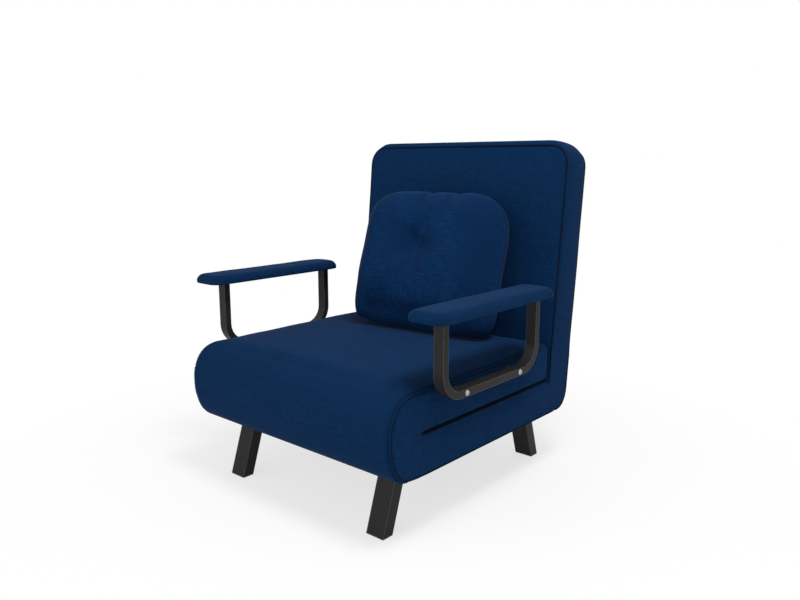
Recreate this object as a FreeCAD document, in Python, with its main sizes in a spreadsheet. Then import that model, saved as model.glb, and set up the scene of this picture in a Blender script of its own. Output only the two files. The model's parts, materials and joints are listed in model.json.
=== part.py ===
# Convertible chair bed: a low armchair whose seat section turns over its front edge to
# become the foot of a bed and whose back reclines on ratchet hinges until it lies flat.
# Millimetres, +Z up, the sitter faces -Y. The origin is under the middle of the whole chair.
import FreeCAD, Part
import math
import os
import Sketcher
from FreeCAD import Placement, Rotation, Vector

doc = FreeCAD.newDocument("chair_bed")
sheet = doc.addObject("Spreadsheet::Sheet", "Sizes")

# Driving dimensions, one cell each
SIZES = {
    # seat and base cushions
    "body_width": 630.0, "seat_depth": 571.0, "base_bottom": 139.5, "base_thickness": 87.5,
    "slit_gap": 6.0, "seat_thickness": 87.0, "seat_crown": 8.0, "front_top_round": 66.0,
    "front_bottom_depth": 55.0, "front_bottom_height": 83.0, "rear_round": 10.0,
    "edge_inset": 6.0, "edge_band": 16.0, "foot_pad_thickness": 19.0,
    # front hinge between base and seat section
    "hinge_stand_off": 2.8, "hinge_rise": 6.0, "knuckle_radius": 2.6, "hinge_pin_radius": 1.3,
    "hinge_pin_play": 0.05, "hinge_width": 90.0, "hinge_spacing": 360.0, "leaf_thickness": 2.0,
    "leaf_depth": 60.0, "knuckle_play": 0.5,
    # back
    "back_side_room": 0.5, "back_thickness": 96.0, "back_height": 612.0, "back_lean": 5.25,
    "seat_gap": 5.0, "back_crown": 8.0, "back_corner_round": 55.0, "back_edge_inset": 5.0,
    "back_edge_band": 4.0, "back_crown_inset": 140.0, "rear_pad_thickness": 26.0,
    "back_clearance": 0.8, "back_room": 3.5, "base_tail": 25.0,
    # welded tube frames
    "tube_size": 25.0, "tube_wall": 1.5, "side_foam": 30.0, "frame_front": 83.0,
    "frame_rear_room": 29.0, "frame_clearance": 0.5, "dust_cover_thickness": 3.0,
    "leg_rail_spacing": 60.0, "seat_frame_front": 73.0, "seat_frame_size": 20.0,
    "back_frame_foot": 25.0, "back_top_foam": 42.0,
    # elastic straps
    "strap_width": 50.0, "strap_thickness": 2.0, "strap_count": 5.0,
    # legs
    "leg_width": 47.0, "leg_depth": 29.0, "leg_wall": 2.0, "leg_slope": 0.32, "leg_side_inset": 64.2,
    "leg_front_reach": 36.3, "leg_rear_reach": 101.7, "leg_plate_thickness": 3.0,
    "glide_height": 6.0, "glide_proud": 2.0, "glide_play": 0.2,
    "leg_bolt_spacing": 26.0,
    "bolt_radius": 4.0, "bolt_play": 0.2, "bolt_head_radius": 7.0, "bolt_head_height": 4.0,
    # arms
    "arm_gap": 14.6, "arm_tube_width": 24.0, "arm_tube_depth": 16.0, "arm_front": 105.4,
    "arm_length": 350.6, "arm_drop": 30.0, "arm_bend": 52.0, "arm_plate_length": 48.0,
    "arm_plate_thickness": 3.0, "pad_width": 97.0, "pad_front_overhang": 51.1,
    "pad_rear_overhang": 14.3,
    "pad_thickness": 20.0, "pad_corner_round": 26.0, "floor_clearance": 0.5,
    "board_side_inset": 18.5, "board_end_inset": 18.0, "board_thickness": 8.0,
    "arm_bolt_front": 78.9, "arm_bolt_rear": 75.4, "spacer_radius": 8.0,
    "tab_thickness": 4.0, "tab_width": 40.0, "tab_margin": 14.0, "nut_radius": 7.0,
    "nut_height": 6.0, "dome_radius": 6.5, "dome_height": 3.8,
    "pad_screw_radius": 2.0, "pad_screw_length": 9.0, "pad_screw_spacing": 16.0,
    "pad_screw_start": 16.0, "screw_head_radius": 4.0, "screw_head_height": 2.5,
    # recline hinges
    "bracket_inset": 35.0, "bracket_thickness": 4.0, "bracket_radius": 16.0,
    "recline_pin_radius": 5.0, "recline_pin_play": 0.05, "recline_pin_head": 8.0,
    "ratchet_radius": 22.0, "ratchet_thickness": 5.0, "ratchet_notch_radius": 3.0,
    "ratchet_step": 21.2, "slot_side_play": 2.0, "hinge_side_play": 0.5,
    # loose pillow
    "pillow_width": 392.0, "pillow_height": 354.0, "pillow_thickness": 148.0,
    "pillow_round": 62.0, "pillow_waist": 5.0, "pillow_rear_room": 62.0, "pillow_offset": 20.0,
    "pillow_lean": 17.0, "pillow_turn": 5.0, "pillow_gap": 0.2, "tuft_radius": 55.0,
    "tuft_depth": 14.0, "tuft_offset": 0.0, "tuft_height": 230.0,
}


class Dim:
    """A size that carries both its number and its spreadsheet expression."""

    def __init__(self, value, expr):
        self.value = value
        self.expr = expr

    def joined(self, other, sign, value):
        return Dim(value, "(%s %s %s)" % (self.expr, sign, dim(other).expr))

    def __add__(self, other):
        return self.joined(other, "+", self.value + dim(other).value)

    def __sub__(self, other):
        return self.joined(other, "-", self.value - dim(other).value)

    def __mul__(self, other):
        return self.joined(other, "*", self.value * dim(other).value)

    def __truediv__(self, other):
        return self.joined(other, "/", self.value / dim(other).value)

    def __rsub__(self, other):
        return dim(other) - self

    def __neg__(self):
        return Dim(-self.value, "(0 - %s)" % self.expr)

    __radd__ = __add__
    __rmul__ = __mul__


def dim(number):
    """Return a Dim, wrapping a plain number."""
    if isinstance(number, Dim):
        return number
    return Dim(float(number), "%.6f" % number)


def turned(function, angle):
    """Return the sine or cosine of an angle given in degrees."""
    value = getattr(math, function)(math.radians(angle.value))
    return Dim(value, "%s(%s * 1 deg)" % (function, angle.expr))


class Sizes:
    """The sheet's cells by name."""


S = Sizes()
for row, (alias, number) in enumerate(SIZES.items(), start=1):
    sheet.set("A%d" % row, alias)
    sheet.set("B%d" % row, str(number))
    sheet.setAlias("B%d" % row, alias)
    setattr(S, alias, Dim(number, "Sizes." + alias))
doc.recompute()

# Places worked out from the driving dimensions
LEAN_SIN = turned("sin", S.back_lean)
LEAN_COS = turned("cos", S.back_lean)
hinge_proud = S.hinge_stand_off + S.knuckle_radius
base_top = S.base_bottom + S.base_thickness
seat_bottom = base_top + S.slit_gap
seat_top = seat_bottom + S.seat_thickness
split = seat_bottom + S.foot_pad_thickness
half_width = S.body_width / 2
drum = S.back_thickness / 2
pivot_z = S.base_bottom + drum
pivot_depth = S.seat_depth + S.seat_gap + (drum - (seat_bottom - pivot_z) * LEAN_SIN) / LEAN_COS
rear_reach = drum * LEAN_COS + (S.back_height - S.back_edge_inset) * LEAN_SIN
front = hinge_proud - (hinge_proud + pivot_depth + rear_reach) / 2
hinge_y = front - S.hinge_stand_off
hinge_z = seat_bottom + S.hinge_rise
pivot_y = front + pivot_depth
back_width = S.body_width - S.back_side_room * 2
frame_half = half_width - S.side_foam
frame_rear = pivot_depth - drum - S.frame_rear_room
frame_bottom = S.base_bottom + S.dust_cover_thickness
frame_top = frame_bottom + S.tube_size
arm_inner = half_width + S.arm_gap
arm_outer = arm_inner + S.arm_tube_width
arm_middle = arm_inner + S.arm_tube_width / 2
arm_front = front + S.arm_front
pad_top = hinge_z * 2 - S.floor_clearance
pad_bottom = pad_top - S.pad_thickness
bolt_z = seat_top - S.arm_drop + S.arm_tube_depth / 2
SIDES = (("left", 1), ("right", -1))
nodes = []


def bind(obj, prop, value):
    """Tie one property of an object to the sheet."""
    obj.setExpression(prop, dim(value).expr)


def place(obj, at, rotation=None):
    """Put an object at a point, each coordinate tied to the sheet."""
    if rotation is not None:
        obj.Placement = Placement(Vector(), rotation)
    for axis, value in zip("xyz", at):
        bind(obj, "Placement.Base." + axis, value)
    return obj


def node(obj, label):
    """Register an object as a finished sub-part under its own label."""
    obj.Label = label
    nodes.append(obj)
    return obj


def box(name, size, at):
    """Make a box from its size and lowest corner."""
    obj = doc.addObject("Part::Box", name)
    for prop, value in zip(("Length", "Width", "Height"), size):
        bind(obj, prop, value)
    return place(obj, at)


ALONG_X = Rotation(Vector(0, 1, 0), 90)
UPRIGHT = Rotation()


def rod(name, radius, length, at, rotation=ALONG_X):
    """Make a round rod from the centre of its first end."""
    obj = doc.addObject("Part::Cylinder", name)
    bind(obj, "Radius", radius)
    bind(obj, "Height", length)
    return place(obj, at, rotation)


def fuse(name, shapes):
    """Weld several objects into one."""
    obj = doc.addObject("Part::MultiFuse", name)
    obj.Shapes = shapes
    return obj


def group(name, shapes):
    """Keep several separate solids together in one object."""
    obj = doc.addObject("Part::Compound", name)
    obj.Links = shapes
    return obj


def cut(name, base, tools):
    """Cut tools out of a base object."""
    obj = doc.addObject("Part::Cut", name)
    obj.Base = base
    obj.Tool = tools[0] if len(tools) == 1 else fuse(name + "_tools", tools)
    return obj


def common(name, base, tool):
    """Keep what two objects share."""
    obj = doc.addObject("Part::Common", name)
    obj.Base = base
    obj.Tool = tool
    return obj


def span_x(sign, inner, outer):
    """Return the lowest x and the width of a span on one side of the chair."""
    low = inner if sign > 0 else -outer
    return low, outer - inner


def side_box(name, sign, inner, outer, y_low, depth, z_low, height):
    """Make a box on one side of the chair."""
    low, width = span_x(sign, inner, outer)
    return box(name, (width, depth, height), (low, y_low, z_low))


def side_rod(name, sign, inner, outer, radius, y, z):
    """Make a rod along X on one side of the chair."""
    low, length = span_x(sign, inner, outer)
    return rod(name, radius, length, (low, y, z))


def square_tube(name, axis, size, length, at):
    """Make an open-ended square tube along x, y or z from its lowest corner."""
    bore = size - S.tube_wall * 2
    outer = [size, size, size]
    inner = [bore, bore, bore]
    start = [at[k] + S.tube_wall for k in range(3)]
    along = "xyz".index(axis)
    outer[along] = length
    inner[along] = length
    start[along] = at[along]
    return cut(name, box(name + "_outer", outer, at), [box(name + "_bore", inner, start)])


def wire(points, to_vector):
    """Close a wire through corners; a pair of points is an arc's middle and its end."""
    edges = []
    last = points[0]
    for step in list(points[1:]) + [points[0]]:
        if step == last:
            continue
        if isinstance(step[0], tuple):
            edges.append(Part.Arc(to_vector(last), to_vector(step[0]), to_vector(step[1])).toShape())
            last = step[1]
        else:
            edges.append(Part.makeLine(to_vector(last), to_vector(step)))
            last = step
    return Part.Wire(edges)


def soft_form(name, sections):
    """Loft a closed soft solid through its section wires."""
    obj = doc.addObject("Part::Feature", name)
    obj.Shape = Part.makeLoft(sections, True, True)
    return obj


DIAGONAL = math.sqrt(0.5)


def round_corner(before, corner, after):
    """Return the middle of a quarter arc from one point to another about their corner."""
    return tuple(c + (b - c + a - c) * (1 - DIAGONAL) for b, c, a in zip(before, corner, after))


CROWN_FALL = 0.85


def cushion_sections(profile, width, inset, band, crown):
    """Return side profiles across the width: drawn in at both ends and crowned between."""
    half = width / 2
    stations = [(-half, inset), (-half + band / 3, inset / 4), (-half + band, 0.0)]
    stations += [(half * part, 0.0) for part in (-0.6, -0.3, 0.0, 0.3, 0.6)]
    stations += [(half - band, 0.0), (half - band / 3, inset / 4), (half, inset)]
    wires = []
    for x, drawn in stations:
        swell = crown * (1.0 - CROWN_FALL * (x / half) ** 2)
        points = profile(swell)
        flat = [p for step in points for p in (step if isinstance(step[0], tuple) else (step,))]
        low = [min(p[k] for p in flat) for k in range(2)]
        high = [max(p[k] for p in flat) for k in range(2)]
        middle = [(a + b) / 2 for a, b in zip(low, high)]
        scale = [1.0 - 2.0 * drawn / (b - a) for a, b in zip(low, high)]

        def to_vector(point, x=x, middle=middle, scale=scale):
            y, z = (m + (v - m) * k for v, m, k in zip(point, middle, scale))
            return Vector(x, y, z)

        wires.append(wire(points, to_vector))
    return wires


def seat_profile(crown):
    """Return the seat section's side profile with its rounded front and crowned top."""
    low, top, y0 = seat_bottom.value, seat_top.value, front.value
    y1 = y0 + S.seat_depth.value
    r, q = S.front_top_round.value, S.rear_round.value
    nose = ((y0, top - r), (y0, top), (y0 + r, top))
    heel = ((y1 - q, top), (y1, top), (y1, top - q))
    ridge = ((nose[2][0] + heel[0][0]) / 2, top + crown)
    return [(y0, low), nose[0], (round_corner(*nose), nose[2]), (ridge, heel[0]),
            (round_corner(*heel), heel[2]), (y1, low)]


def base_profile(crown):
    """Return the base cushion's side profile with its rounded front underside."""
    low, top, y0 = S.base_bottom.value, base_top.value, front.value
    y1 = y0 + pivot_depth.value - S.base_tail.value
    chin = ((y0, low + S.front_bottom_height.value), (y0, low), (y0 + S.front_bottom_depth.value, low))
    return [(y0, top), chin[0], (round_corner(*chin), chin[2]), (y1, low), (y1, top)]


def bowed(start, end, depth):
    """Return a wire step to an end point, bowed to the right of the way there by a depth."""
    if depth == 0.0:
        return end
    run = math.dist(start, end)
    across = ((end[1] - start[1]) / run, (start[0] - end[0]) / run)
    return tuple((a + b) / 2 + c * depth for a, b, c in zip(start, end, across)), end


def rounded_outline(width, low, high, radius, waist=0.0, foot_radius=None):
    """Return a rounded outline, run clockwise, whose sides draw in by a waist between the corners."""
    half = width / 2
    foot = radius if foot_radius is None else foot_radius
    corners = [((-half, low), foot, (-1, 0), (0, 1)), ((-half, high), radius, (0, 1), (1, 0)),
               ((half, high), radius, (1, 0), (0, -1)), ((half, low), foot, (0, -1), (-1, 0))]
    points = []
    for corner, r, way_in, way_out in corners:
        start = tuple(c - r * d for c, d in zip(corner, way_in))
        end = tuple(c + r * d for c, d in zip(corner, way_out))
        points.append(bowed(last, start, waist) if points else start)
        if r > 0.0:
            points.append((round_corner(start, corner, end), end))
        last = end
    points.append(bowed(last, points[0], waist))
    return points


def stacked_sections(layers, outline, to_vector):
    """Return wires of one outline at several depths, each drawn in by its own inset."""
    return [wire(outline(inset), lambda point, depth=depth: to_vector(point, depth))
            for depth, inset in layers]


def tilted(obj):
    """Lean a piece of the back, built upright about the recline pivot."""
    obj.Placement = Placement(Vector(), Rotation(Vector(-1, 0, 0), S.back_lean.value))
    bind(obj, "Placement.Base.y", pivot_y)
    bind(obj, "Placement.Base.z", pivot_z)
    bind(obj, "Placement.Rotation.Angle", S.back_lean)
    return obj


def body_sketch(body, name, points, offset=None):
    """Draw a closed polygon on a body's side plane, each corner tied to the sheet."""
    sketch = body.newObject("Sketcher::SketchObject", name)
    plane = [f for f in body.Origin.OriginFeatures if f.Role == "YZ_Plane"][0]
    sketch.AttachmentSupport = [(plane, "")]
    sketch.MapMode = "FlatFace"
    if offset is not None:
        bind(sketch, "AttachmentOffset.Base.z", offset)
    count = len(points)
    for k, start in enumerate(points):
        end = points[(k + 1) % count]
        line = Part.LineSegment(Vector(start[0].value, start[1].value), Vector(end[0].value, end[1].value))
        sketch.addGeometry(line, False)
    for k in range(count):
        sketch.addConstraint(Sketcher.Constraint("Coincident", k, 2, (k + 1) % count, 1))
    for k, corner in enumerate(points):
        for kind, value in zip(("DistanceX", "DistanceY"), corner):
            index = sketch.addConstraint(Sketcher.Constraint(kind, -1, 1, k, 1, value.value))
            sketch.setExpression("Constraints[%d]" % index, value.expr)
    return sketch


def body_feature(body, kind, name, sketch, length):
    """Add a pad or pocket of a sketch to a body."""
    feature = body.newObject("PartDesign::" + kind, name)
    feature.Profile = sketch
    bind(feature, "Length", length)
    return feature


# Base: cushion, frame, straps and dust cover
cross_length = (frame_half - S.tube_size) * 2
frame_y = front + S.frame_front
frame_end = front + frame_rear
front_rails = (frame_y, frame_y + S.leg_rail_spacing)
rear_rails = (frame_end - S.tube_size - S.leg_rail_spacing, frame_end - S.tube_size)

leg_rails = {"front": front_rails, "rear": rear_rails}
leg_outer = half_width - S.leg_side_inset
leg_low_x = {"left": leg_outer - S.leg_width, "right": -leg_outer}
bolt_holes = []
leg_bolts = []
for end, rail_y in (("front", front_rails[1]), ("rear", rear_rails[0])):
    for side, _ in SIDES:
        for k in (0, 1):
            name = "leg_bolt_%s_%s_%d" % (end, side, k)
            x = leg_low_x[side] + S.leg_width / 2 + S.leg_bolt_spacing * (k - 0.5)
            y = rail_y + S.tube_size / 2
            head_z = S.base_bottom - S.leg_plate_thickness - S.bolt_head_height
            shank = S.bolt_head_height + S.leg_plate_thickness + S.dust_cover_thickness + S.tube_size / 2
            head = rod(name + "_head", S.bolt_head_radius, S.bolt_head_height, (x, y, head_z), UPRIGHT)
            stem = rod(name + "_stem", S.bolt_radius, shank, (x, y, head_z), UPRIGHT)
            leg_bolts.append(fuse(name, [head, stem]))
            hole = rod(name + "_hole", S.bolt_radius + S.bolt_play, shank, (x, y, head_z), UPRIGHT)
            bolt_holes.append(hole)
leg_bolt_holes = fuse("leg_bolt_holes", bolt_holes)

rails = []
for side, sign in SIDES:
    low = span_x(sign, frame_half - S.tube_size, frame_half)[0]
    rails.append(square_tube("base_rail_" + side, "y", S.tube_size, frame_end - frame_y,
                             (low, frame_y, frame_bottom)))
for k, rail_y in enumerate(front_rails + rear_rails):
    rails.append(square_tube("base_cross_%d" % k, "x", S.tube_size, cross_length,
                             (-(cross_length / 2), rail_y, frame_bottom)))
node(cut("base_frame_drilled", fuse("base_frame_weld", rails), [leg_bolt_holes]), "base_frame")


def straps(name, low, high, make_box):
    """Return evenly spaced straps between two places."""
    count = int(S.strap_count.value)
    step = (high - low - S.strap_width) / (count - 1)
    return group(name, [make_box("%s_%d" % (name, k), low + step * k) for k in range(count)])


node(straps("base_straps", frame_y + S.tube_size, frame_end - S.tube_size, lambda name, y: box(
    name, (frame_half * 2, S.strap_width, S.strap_thickness),
    (-frame_half, y, frame_top))), "base_webbing")

node(cut("dust_cover_drilled", box(
    "dust_cover_sheet", (frame_half * 2, frame_end - frame_y, S.dust_cover_thickness),
    (-frame_half, frame_y, S.base_bottom)), [leg_bolt_holes]), "base_dust_cover")

ear_inner = frame_half - S.bracket_inset
ear_outer = ear_inner + S.bracket_thickness
bracket_inner = ear_outer + S.hinge_side_play
bracket_outer = bracket_inner + S.bracket_thickness
base_form = soft_form("base_form", cushion_sections(
    base_profile, S.body_width.value, S.edge_inset.value, S.edge_band.value, 0.0))
sweep = drum + S.back_clearance
slab_reach = drum + S.back_room
drum_space = rod("drum_space", sweep, S.body_width, (-half_width, pivot_y, pivot_z))
slab_space = box("slab_space", (S.body_width, S.back_thickness * 2, S.back_height),
                 (-half_width, pivot_y - slab_reach * LEAN_COS, pivot_z + slab_reach * LEAN_SIN))
slab_space.Placement.Rotation = Rotation(Vector(-1, 0, 0), S.back_lean.value)
bind(slab_space, "Placement.Rotation.Angle", S.back_lean)
base_pocket = box("base_pocket", (
    (frame_half + S.frame_clearance) * 2, frame_end - frame_y + S.frame_clearance * 2,
    S.dust_cover_thickness * 2 + S.tube_size + S.strap_thickness + S.frame_clearance),
    (-frame_half - S.frame_clearance, frame_y - S.frame_clearance,
     S.base_bottom - S.dust_cover_thickness))
bracket_slots = [side_box("bracket_slot_" + side, sign, bracket_inner - S.frame_clearance,
                          bracket_outer + S.frame_clearance, frame_end, pivot_y - frame_end,
                          frame_bottom - S.frame_clearance,
                          pivot_z - frame_bottom + S.bracket_radius + S.frame_clearance * 2)
                 for side, sign in SIDES]
node(cut("base_cushion", base_form, [base_pocket, drum_space, slab_space] + bracket_slots), "base_pad")

# Legs: hollow, splayed fore and aft, each welded to a plate bolted across two rails
leg_top = S.base_bottom - S.leg_plate_thickness
glides = []


def leg_outline(foot, splay, low, high, wall):
    """Return the corners of a splayed leg's side view, walled in by a thickness."""
    def corner(z, along):
        return foot + splay * z + along, z
    return [corner(low, wall), corner(low, S.leg_depth - wall), corner(high, S.leg_depth - wall),
            corner(high, wall)]


for end, foot, splay in (("front", S.frame_front - S.leg_front_reach, S.leg_slope),
                         ("rear", frame_rear + S.leg_rear_reach - S.leg_depth, -S.leg_slope)):
    first, last = leg_rails[end]
    if end == "front":
        plate_y, plate_end = first, last + S.tube_size
    else:
        plate_y, plate_end = first, front + foot + S.leg_depth + splay * leg_top
    for side, _ in SIDES:
        name = "leg_%s_%s" % (end, side)
        body = doc.addObject("PartDesign::Body", name + "_tube")
        outline = body_sketch(body, name + "_outline", leg_outline(foot, splay, S.glide_proud, leg_top, 0))
        body_feature(body, "Pad", name + "_pad", outline, S.leg_width)
        bore = body_sketch(body, name + "_bore", leg_outline(
            foot, splay, S.glide_proud / 2, leg_top - S.leg_wall, S.leg_wall), S.leg_wall)
        pocket = body_feature(body, "Pocket", name + "_hollow", bore, S.leg_width - S.leg_wall * 2)
        pocket.Reversed = True
        place(body, (leg_low_x[side], front, 0))
        plate = box(name + "_plate", (S.leg_width, plate_end - plate_y, S.leg_plate_thickness),
                    (leg_low_x[side], plate_y, leg_top))
        node(cut(name + "_drilled", fuse(name + "_weld", [body, plate]), [leg_bolt_holes]), name)
        sole = box(name + "_sole", (S.leg_width, S.leg_depth, S.glide_proud),
                   (leg_low_x[side], front + foot, 0))
        inset = S.leg_wall + S.glide_play
        lean = S.leg_slope * S.glide_height
        plug = box(name + "_plug", (S.leg_width - inset * 2, S.leg_depth - inset * 2 - lean, S.glide_height),
                   (leg_low_x[side] + inset, front + foot + inset + (lean if end == "front" else 0), 0))
        glides.append(fuse(name + "_glide", [sole, plug]))
node(group("leg_bolt_set", leg_bolts), "leg_bolts")
node(group("glide_set", glides), "leg_glides")

# Front hinges: raised leaves in the slit, their knuckles just ahead of both cushions
third = S.hinge_width / 3
leaf_front = hinge_y - S.leaf_thickness / 2


def hinge_leaf(name, middle, leaf_z, knuckles):
    """Return one leaf with its curled knuckles, bored for the pin."""
    parts = [box(name + "_plate", (S.hinge_width, S.leaf_depth, S.leaf_thickness),
                 (middle - S.hinge_width / 2, front, leaf_z))]
    width = third - S.knuckle_play
    for k, offset in enumerate(knuckles):
        x = middle + third * offset - width / 2
        parts.append(box("%s_tongue_%d" % (name, k), (width, front - leaf_front, S.leaf_thickness),
                         (x, leaf_front, leaf_z)))
        parts.append(box("%s_riser_%d" % (name, k), (width, S.leaf_thickness, hinge_z - leaf_z),
                         (x, leaf_front, leaf_z)))
        parts.append(rod("%s_knuckle_%d" % (name, k), S.knuckle_radius, width, (x, hinge_y, hinge_z)))
    bore = rod(name + "_bore", S.hinge_pin_radius + S.hinge_pin_play, S.hinge_width,
               (middle - S.hinge_width / 2, hinge_y, hinge_z))
    return cut(name, fuse(name + "_weld", parts), [bore])


base_leaves = []
seat_leaves = []
hinge_pins = []
for side, sign in SIDES:
    middle = S.hinge_spacing / 2 * sign
    base_leaves.append(hinge_leaf("base_leaf_" + side, middle, base_top, (0,)))
    seat_leaves.append(hinge_leaf("seat_leaf_" + side, middle, seat_bottom - S.leaf_thickness, (-1, 1)))
    hinge_pins.append(rod("hinge_pin_" + side, S.hinge_pin_radius, S.hinge_width,
                          (middle - S.hinge_width / 2, hinge_y, hinge_z)))
node(group("base_leaf_pair", base_leaves), "front_hinge_base_leaves")
node(group("seat_leaf_pair", seat_leaves), "front_hinge_seat_leaves")
node(group("hinge_pin_pair", hinge_pins), "front_hinge_pins")

# Seat section: two cushions round a tube frame with upright tabs for the arms
seat_frame_y = front + S.seat_frame_front
seat_cross = (frame_half - S.seat_frame_size) * 2
seat_frame_top = split + S.seat_frame_size
arm_bolt_ys = [arm_front + S.arm_bolt_front, arm_front + S.arm_length - S.arm_bolt_rear]
tab_outer = frame_half + S.tab_thickness
bolt_end = frame_half - S.nut_height
arm_holes = []
for side, sign in SIDES:
    for k, y in enumerate(arm_bolt_ys):
        arm_holes.append(side_rod("arm_hole_%s_%d" % (side, k), sign, bolt_end, arm_outer,
                                  S.bolt_radius + S.bolt_play, y, bolt_z))
arm_bolt_holes = fuse("arm_bolt_holes", arm_holes)

rails = []
for side, sign in SIDES:
    low = span_x(sign, frame_half - S.seat_frame_size, frame_half)[0]
    rails.append(square_tube("seat_rail_" + side, "y", S.seat_frame_size, frame_end - seat_frame_y,
                             (low, seat_frame_y, split)))
    for k, y in enumerate(arm_bolt_ys):
        rails.append(side_box("arm_tab_%s_%d" % (side, k), sign, frame_half, tab_outer,
                              y - S.tab_width / 2, S.tab_width, split, bolt_z + S.tab_margin - split))
for k, y in enumerate((seat_frame_y, (seat_frame_y + frame_end - S.seat_frame_size) / 2,
                       frame_end - S.seat_frame_size)):
    rails.append(square_tube("seat_cross_%d" % k, "x", S.seat_frame_size, seat_cross,
                             (-(seat_cross / 2), y, split)))
node(cut("seat_frame_drilled", fuse("seat_frame_weld", rails), [arm_bolt_holes]), "seat_frame")
node(straps("seat_straps", seat_frame_y + S.seat_frame_size, frame_end - S.seat_frame_size,
            lambda name, y: box(name, (frame_half * 2, S.strap_width, S.strap_thickness),
                                (-frame_half, y, seat_frame_top))), "seat_webbing")

seat_form = soft_form("seat_form", cushion_sections(
    seat_profile, S.body_width.value, S.edge_inset.value, S.edge_band.value, S.seat_crown.value))
foot_layer = box("foot_layer", (S.body_width, S.seat_depth, S.foot_pad_thickness),
                 (-half_width, front, seat_bottom))
node(common("foot_cushion", seat_form, foot_layer), "foot_pad")
clear = S.frame_clearance
seat_cuts = [foot_layer, box("seat_pocket", (
    (frame_half + clear) * 2, frame_end - seat_frame_y + clear * 2,
    S.seat_frame_size + S.strap_thickness + clear),
    (-frame_half - clear, seat_frame_y - clear, split))]
for side, sign in SIDES:
    for k, y in enumerate(arm_bolt_ys):
        seat_cuts.append(side_box("tab_slot_%s_%d" % (side, k), sign, bolt_end - clear, tab_outer + clear,
                                  y - S.tab_width / 2 - clear, S.tab_width + clear * 2, split,
                                  bolt_z + S.tab_margin - split + clear))
        seat_cuts.append(side_rod("spacer_hole_%s_%d" % (side, k), sign, tab_outer, arm_inner,
                                  S.spacer_radius + clear, y, bolt_z))
seat_pad = node(cut("seat_cushion", seat_form, seat_cuts), "seat_pad")

# Arms: bent tube loops bolted to the seat frame's tabs, with padded boards on top
upright_top = pad_bottom - S.arm_plate_thickness
post_ys = [arm_front + S.arm_tube_depth / 2, arm_front + S.arm_length - S.arm_tube_depth / 2]
pad_front = arm_front - S.pad_front_overhang
pad_length = S.arm_length + S.pad_front_overhang + S.pad_rear_overhang
board_y = pad_front + S.board_end_inset
board_length = pad_length - S.board_end_inset * 2
board_width = S.pad_width - S.board_side_inset * 2


def arm_loop(name, sign):
    """Return a hollow tube bent into a U that stands on edge beside the seat."""
    x = arm_middle.value * sign
    low = bolt_z.value
    top = upright_top.value
    y0, y1 = (y.value for y in post_ys)
    bend = S.arm_bend.value
    heel = ((y0, low + bend), (y0, low), (y0 + bend, low))
    toe = ((y1 - bend, low), (y1, low), (y1, low + bend))

    def at(point):
        return Vector(x, point[0], point[1])

    path = Part.Wire([
        Part.makeLine(at((y0, top)), at(heel[0])),
        Part.Arc(at(heel[0]), at(round_corner(*heel)), at(heel[2])).toShape(),
        Part.makeLine(at(heel[2]), at(toe[0])),
        Part.Arc(at(toe[0]), at(round_corner(*toe)), at(toe[2])).toShape(),
        Part.makeLine(at(toe[2]), at((y1, top)))])

    def swept(wall):
        half_x = S.arm_tube_width.value / 2 - wall
        half_y = S.arm_tube_depth.value / 2 - wall
        corners = [Vector(x - half_x, y0 - half_y, top), Vector(x + half_x, y0 - half_y, top),
                   Vector(x + half_x, y0 + half_y, top), Vector(x - half_x, y0 + half_y, top)]
        return path.makePipeShell([Part.makePolygon(corners + corners[:1])], True, False)

    obj = doc.addObject("Part::Feature", name)
    obj.Shape = swept(0.0).cut(swept(S.tube_wall.value))
    return obj


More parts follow.
